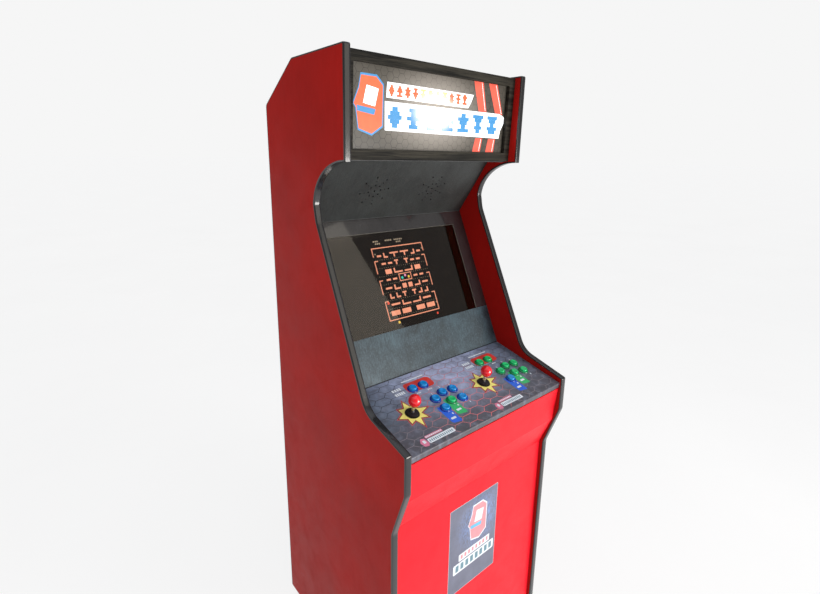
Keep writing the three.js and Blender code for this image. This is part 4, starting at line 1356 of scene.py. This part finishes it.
def make_lock():
    """Cam lock: escutcheon with a keyway, barrel and cam."""
    low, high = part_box("door_lock")
    joint = next(j for j in frame["joints"] if j["name"] == "door_lock_turn")
    x, z = joint["pos_m"][0] / MM, joint["pos_m"][2] / MM
    face, inside = high.y / MM, low.y / MM
    wall = face - 3.0
    shape = Shape()
    at = (x, 0, z)
    shape.lathe([(0, face - 2.4), (4.6, face - 2.4), (5.0, face - 0.5), (9.4, face),
                 (11.8, face - 0.2), (13, face - 1.1), (13, wall + 0.1), (9.2, wall),
                 (9.2, inside + 3.2), (8.6, inside + 3), (0, inside + 3)], at, 64,
                turn=BACKWARD)
    shape.block((x - 6, x + 6), (inside, inside + 2.9), (z - 8, z + 42))
    keyway = Shape()
    keyway.block((x - 0.9, x + 0.9), (face - 4.4, face + 1), (z - 4, z + 4))
    piece("cam_lock", shape, [LOOKS["steel"]], "lock", replaces=["door_lock"],
          cutter=keyway)


def make_feet():
    """Levelling feet: rubber-edged pad, jam nut and threaded stem."""
    for node in (n for n in frame["nodes"] if n.startswith("foot_")):
        low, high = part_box(node)
        x, y = (low.x + high.x) / 2 / MM, (low.y + high.y) / 2 / MM
        top = high.z / MM
        shape = Shape()
        shape.lathe([(0, 0), (20.6, 0), (21.8, 0.8), (22, 2), (22, 3.6), (21.2, 4.2), (0, 4.2)],
                    (x, y, 0), 64, 1)
        shape.lathe([(0, 4.3), (20.4, 4.3), (20.6, 5.0), (17, 6.4), (9.4, 9.4), (8, 10.2),
                     (5, 10.4), (0, 10.4)], (x, y, 0), 64, 0)
        threads = [(5.0 - 0.5 * (i % 2), 10.5 + i * 0.75) for i in range(int((top - 11) / 0.75))]
        shape.lathe([(0, 10.5)] + threads + [(4.4, top), (0, top)], (x, y, 0), 32, 0)
        shape.lathe([(5.1, 21.2), (9.2, 21.2), (9.6, 21.8), (9.6, 28.8), (9.2, 29.4),
                     (5.1, 29.4)], (x, y, 0), 6, 0, closed=True)
        piece(f"{node}_pad", shape, [LOOKS["zinc"], LOOKS["black_plastic"]],
              replaces=[node])


def make_computer_fittings():
    """Fan grille and port plate on the back of the game computer."""
    low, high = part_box("computer_case")
    back, base = high.y / MM, low.z / MM
    shape = Shape()
    fan_x, fan_z = -45, base + 275
    for radius in (6, 14, 22, 30):
        ring = [(radius + 1.1 * math.cos(math.radians(t)), 1.3 + 1.1 * math.sin(math.radians(t)))
                for t in range(0, 360, 45)]
        shape.lathe(ring, (fan_x, back, fan_z), 48, 0, closed=True, turn=BACKWARD)
    shape.lathe([(0, -3), (15, -3), (16, -4), (16, -12), (0, -12)], (fan_x, back, fan_z), 40, 1,
                turn=BACKWARD)
    for blade in range(7):
        turn = 2 * math.pi * blade / 7
        way = Vector((math.cos(turn), math.sin(turn)))
        side = Vector((-way.y, way.x))
        corners = [way * 15, way * 24 + side * 8, way * 24 - side * 4]
        verts = [[shape.bm.verts.new((fan_x + p.x, back - level, fan_z + p.y))
                  for p in corners] for level in (6, 7.2)]
        shape.face(verts[0], 1)
        shape.face(verts[1][::-1], 1)
        for i in range(3):
            j = (i + 1) % 3
            shape.face((verts[0][i], verts[0][j], verts[1][j], verts[1][i]), 1)
    for n in range(5):
        z = base + 60 + n * 14
        shape.block((-70, 10), (back + 0.1, back + 1.1), (z, z + 9), 0)
    for x in (-84, 84):
        for z in (base + 12, base + 368):
            shape.screw((x, back + 0.05, z), 3.4, 0, BACKWARD)
    piece("computer_fittings", shape, [LOOKS["zinc"], LOOKS["black_plastic"]])


# ---- studio ----
BACKDROP = srgb(246, 246, 246)
STUDIO_WALL, STUDIO_CEILING = (0.3, 0.29, 0.285, 1), (0.92, 0.95, 1.0, 1)
WALL_TOP, CEILING_EDGE = 0.66, 0.92  # upward part of a direction: 0 level, 1 straight up
FLOOR_HALF, FLOOR_THICK = 200, 0.02  # metres
LIGHTS = (  # name, place, target, size, watts, colour, seen in reflections
    ("front_window", (1.25, -3.1, 0.85), (0, 0, 0.9), (1.6, 1.3), 84, (1.0, 0.97, 0.94), True),
    ("soft_box", (1.5, -3.3, 2.2), (0, 0, 2.2), (1.8, 3.8), 25, (1.0, 0.93, 0.8), True),
    ("overhead", (0.2, -1.2, 3.2), (0, 0, 0.9), (2.4, 1.6), 18, (0.9, 0.95, 1.0), False),
    ("side_fill", (-2.6, -2.6, 1.5), (0, 0, 1.1), (1.6, 1.6), 14, (1.0, 0.97, 0.95), False),
)


def make_world():
    """Pale backdrop to the camera; plain soft grey walls under a pale ceiling as light."""
    world = bpy.data.worlds.new("studio")
    scene.world = world
    world.use_nodes = True
    nodes, links = world.node_tree.nodes, world.node_tree.links
    way = nodes.new("ShaderNodeTexCoord")
    parts = nodes.new("ShaderNodeSeparateXYZ")
    links.new(way.outputs["Generated"], parts.inputs[0])
    ramp = nodes.new("ShaderNodeValToRGB")
    ramp.color_ramp.interpolation = "EASE"
    for element, height, colour in zip(ramp.color_ramp.elements, (WALL_TOP, CEILING_EDGE),
                                       (STUDIO_WALL, STUDIO_CEILING)):
        element.position, element.color = height, colour
    links.new(parts.outputs["Z"], ramp.inputs[0])
    choice = nodes.new("ShaderNodeMix")
    choice.data_type = "RGBA"
    links.new(nodes.new("ShaderNodeLightPath").outputs["Is Camera Ray"], choice.inputs[0])
    links.new(ramp.outputs[0], choice.inputs[6])
    choice.inputs[7].default_value = BACKDROP
    links.new(choice.outputs[2], nodes["Background"].inputs["Color"])


def area_light(name, place, target, size, watts, colour, mirrored):
    data = bpy.data.lights.new(name, "AREA")
    data.shape, data.size, data.size_y = "RECTANGLE", size[0], size[1]
    data.energy, data.color = watts, colour
    light = bpy.data.objects.new(name, data)
    light.location = place
    light.rotation_euler = (Vector(target) - Vector(place)).to_track_quat("-Z", "Y").to_euler()
    light.visible_glossy = mirrored
    scene.collection.objects.link(light)


def make_studio():
    make_world()
    for light in LIGHTS:
        area_light(*light)
    half = FLOOR_HALF
    floor = Shape()
    floor.prism([(-half, -half), (half, -half), (half, half), (-half, half)], -FLOOR_THICK, 0)
    mesh = bpy.data.meshes.new("floor")
    floor.bm.to_mesh(mesh)
    floor.bm.free()
    mesh.materials.append(pale_floor())
    made = bpy.data.objects.new("floor", mesh)
    scene.collection.objects.link(made)
    scene.view_settings.view_transform = "Standard"


make_camera()
make_studio()
for side in ("left", "right"):
    make_edge_trim(side)
    make_speaker(side)
make_overlay()
make_deck_lattice()
for tag in PLAYERS:
    make_deck_artwork(tag)
    make_buttons(tag)
    make_joystick(tag)
make_deck_screws()
make_display()
make_window_surround()
make_speaker_panel()
make_marquee()
make_marquee_lamp()
make_sticker()
make_rear_screws()
make_hinge()
make_lock()
make_feet()
make_computer_fittings()
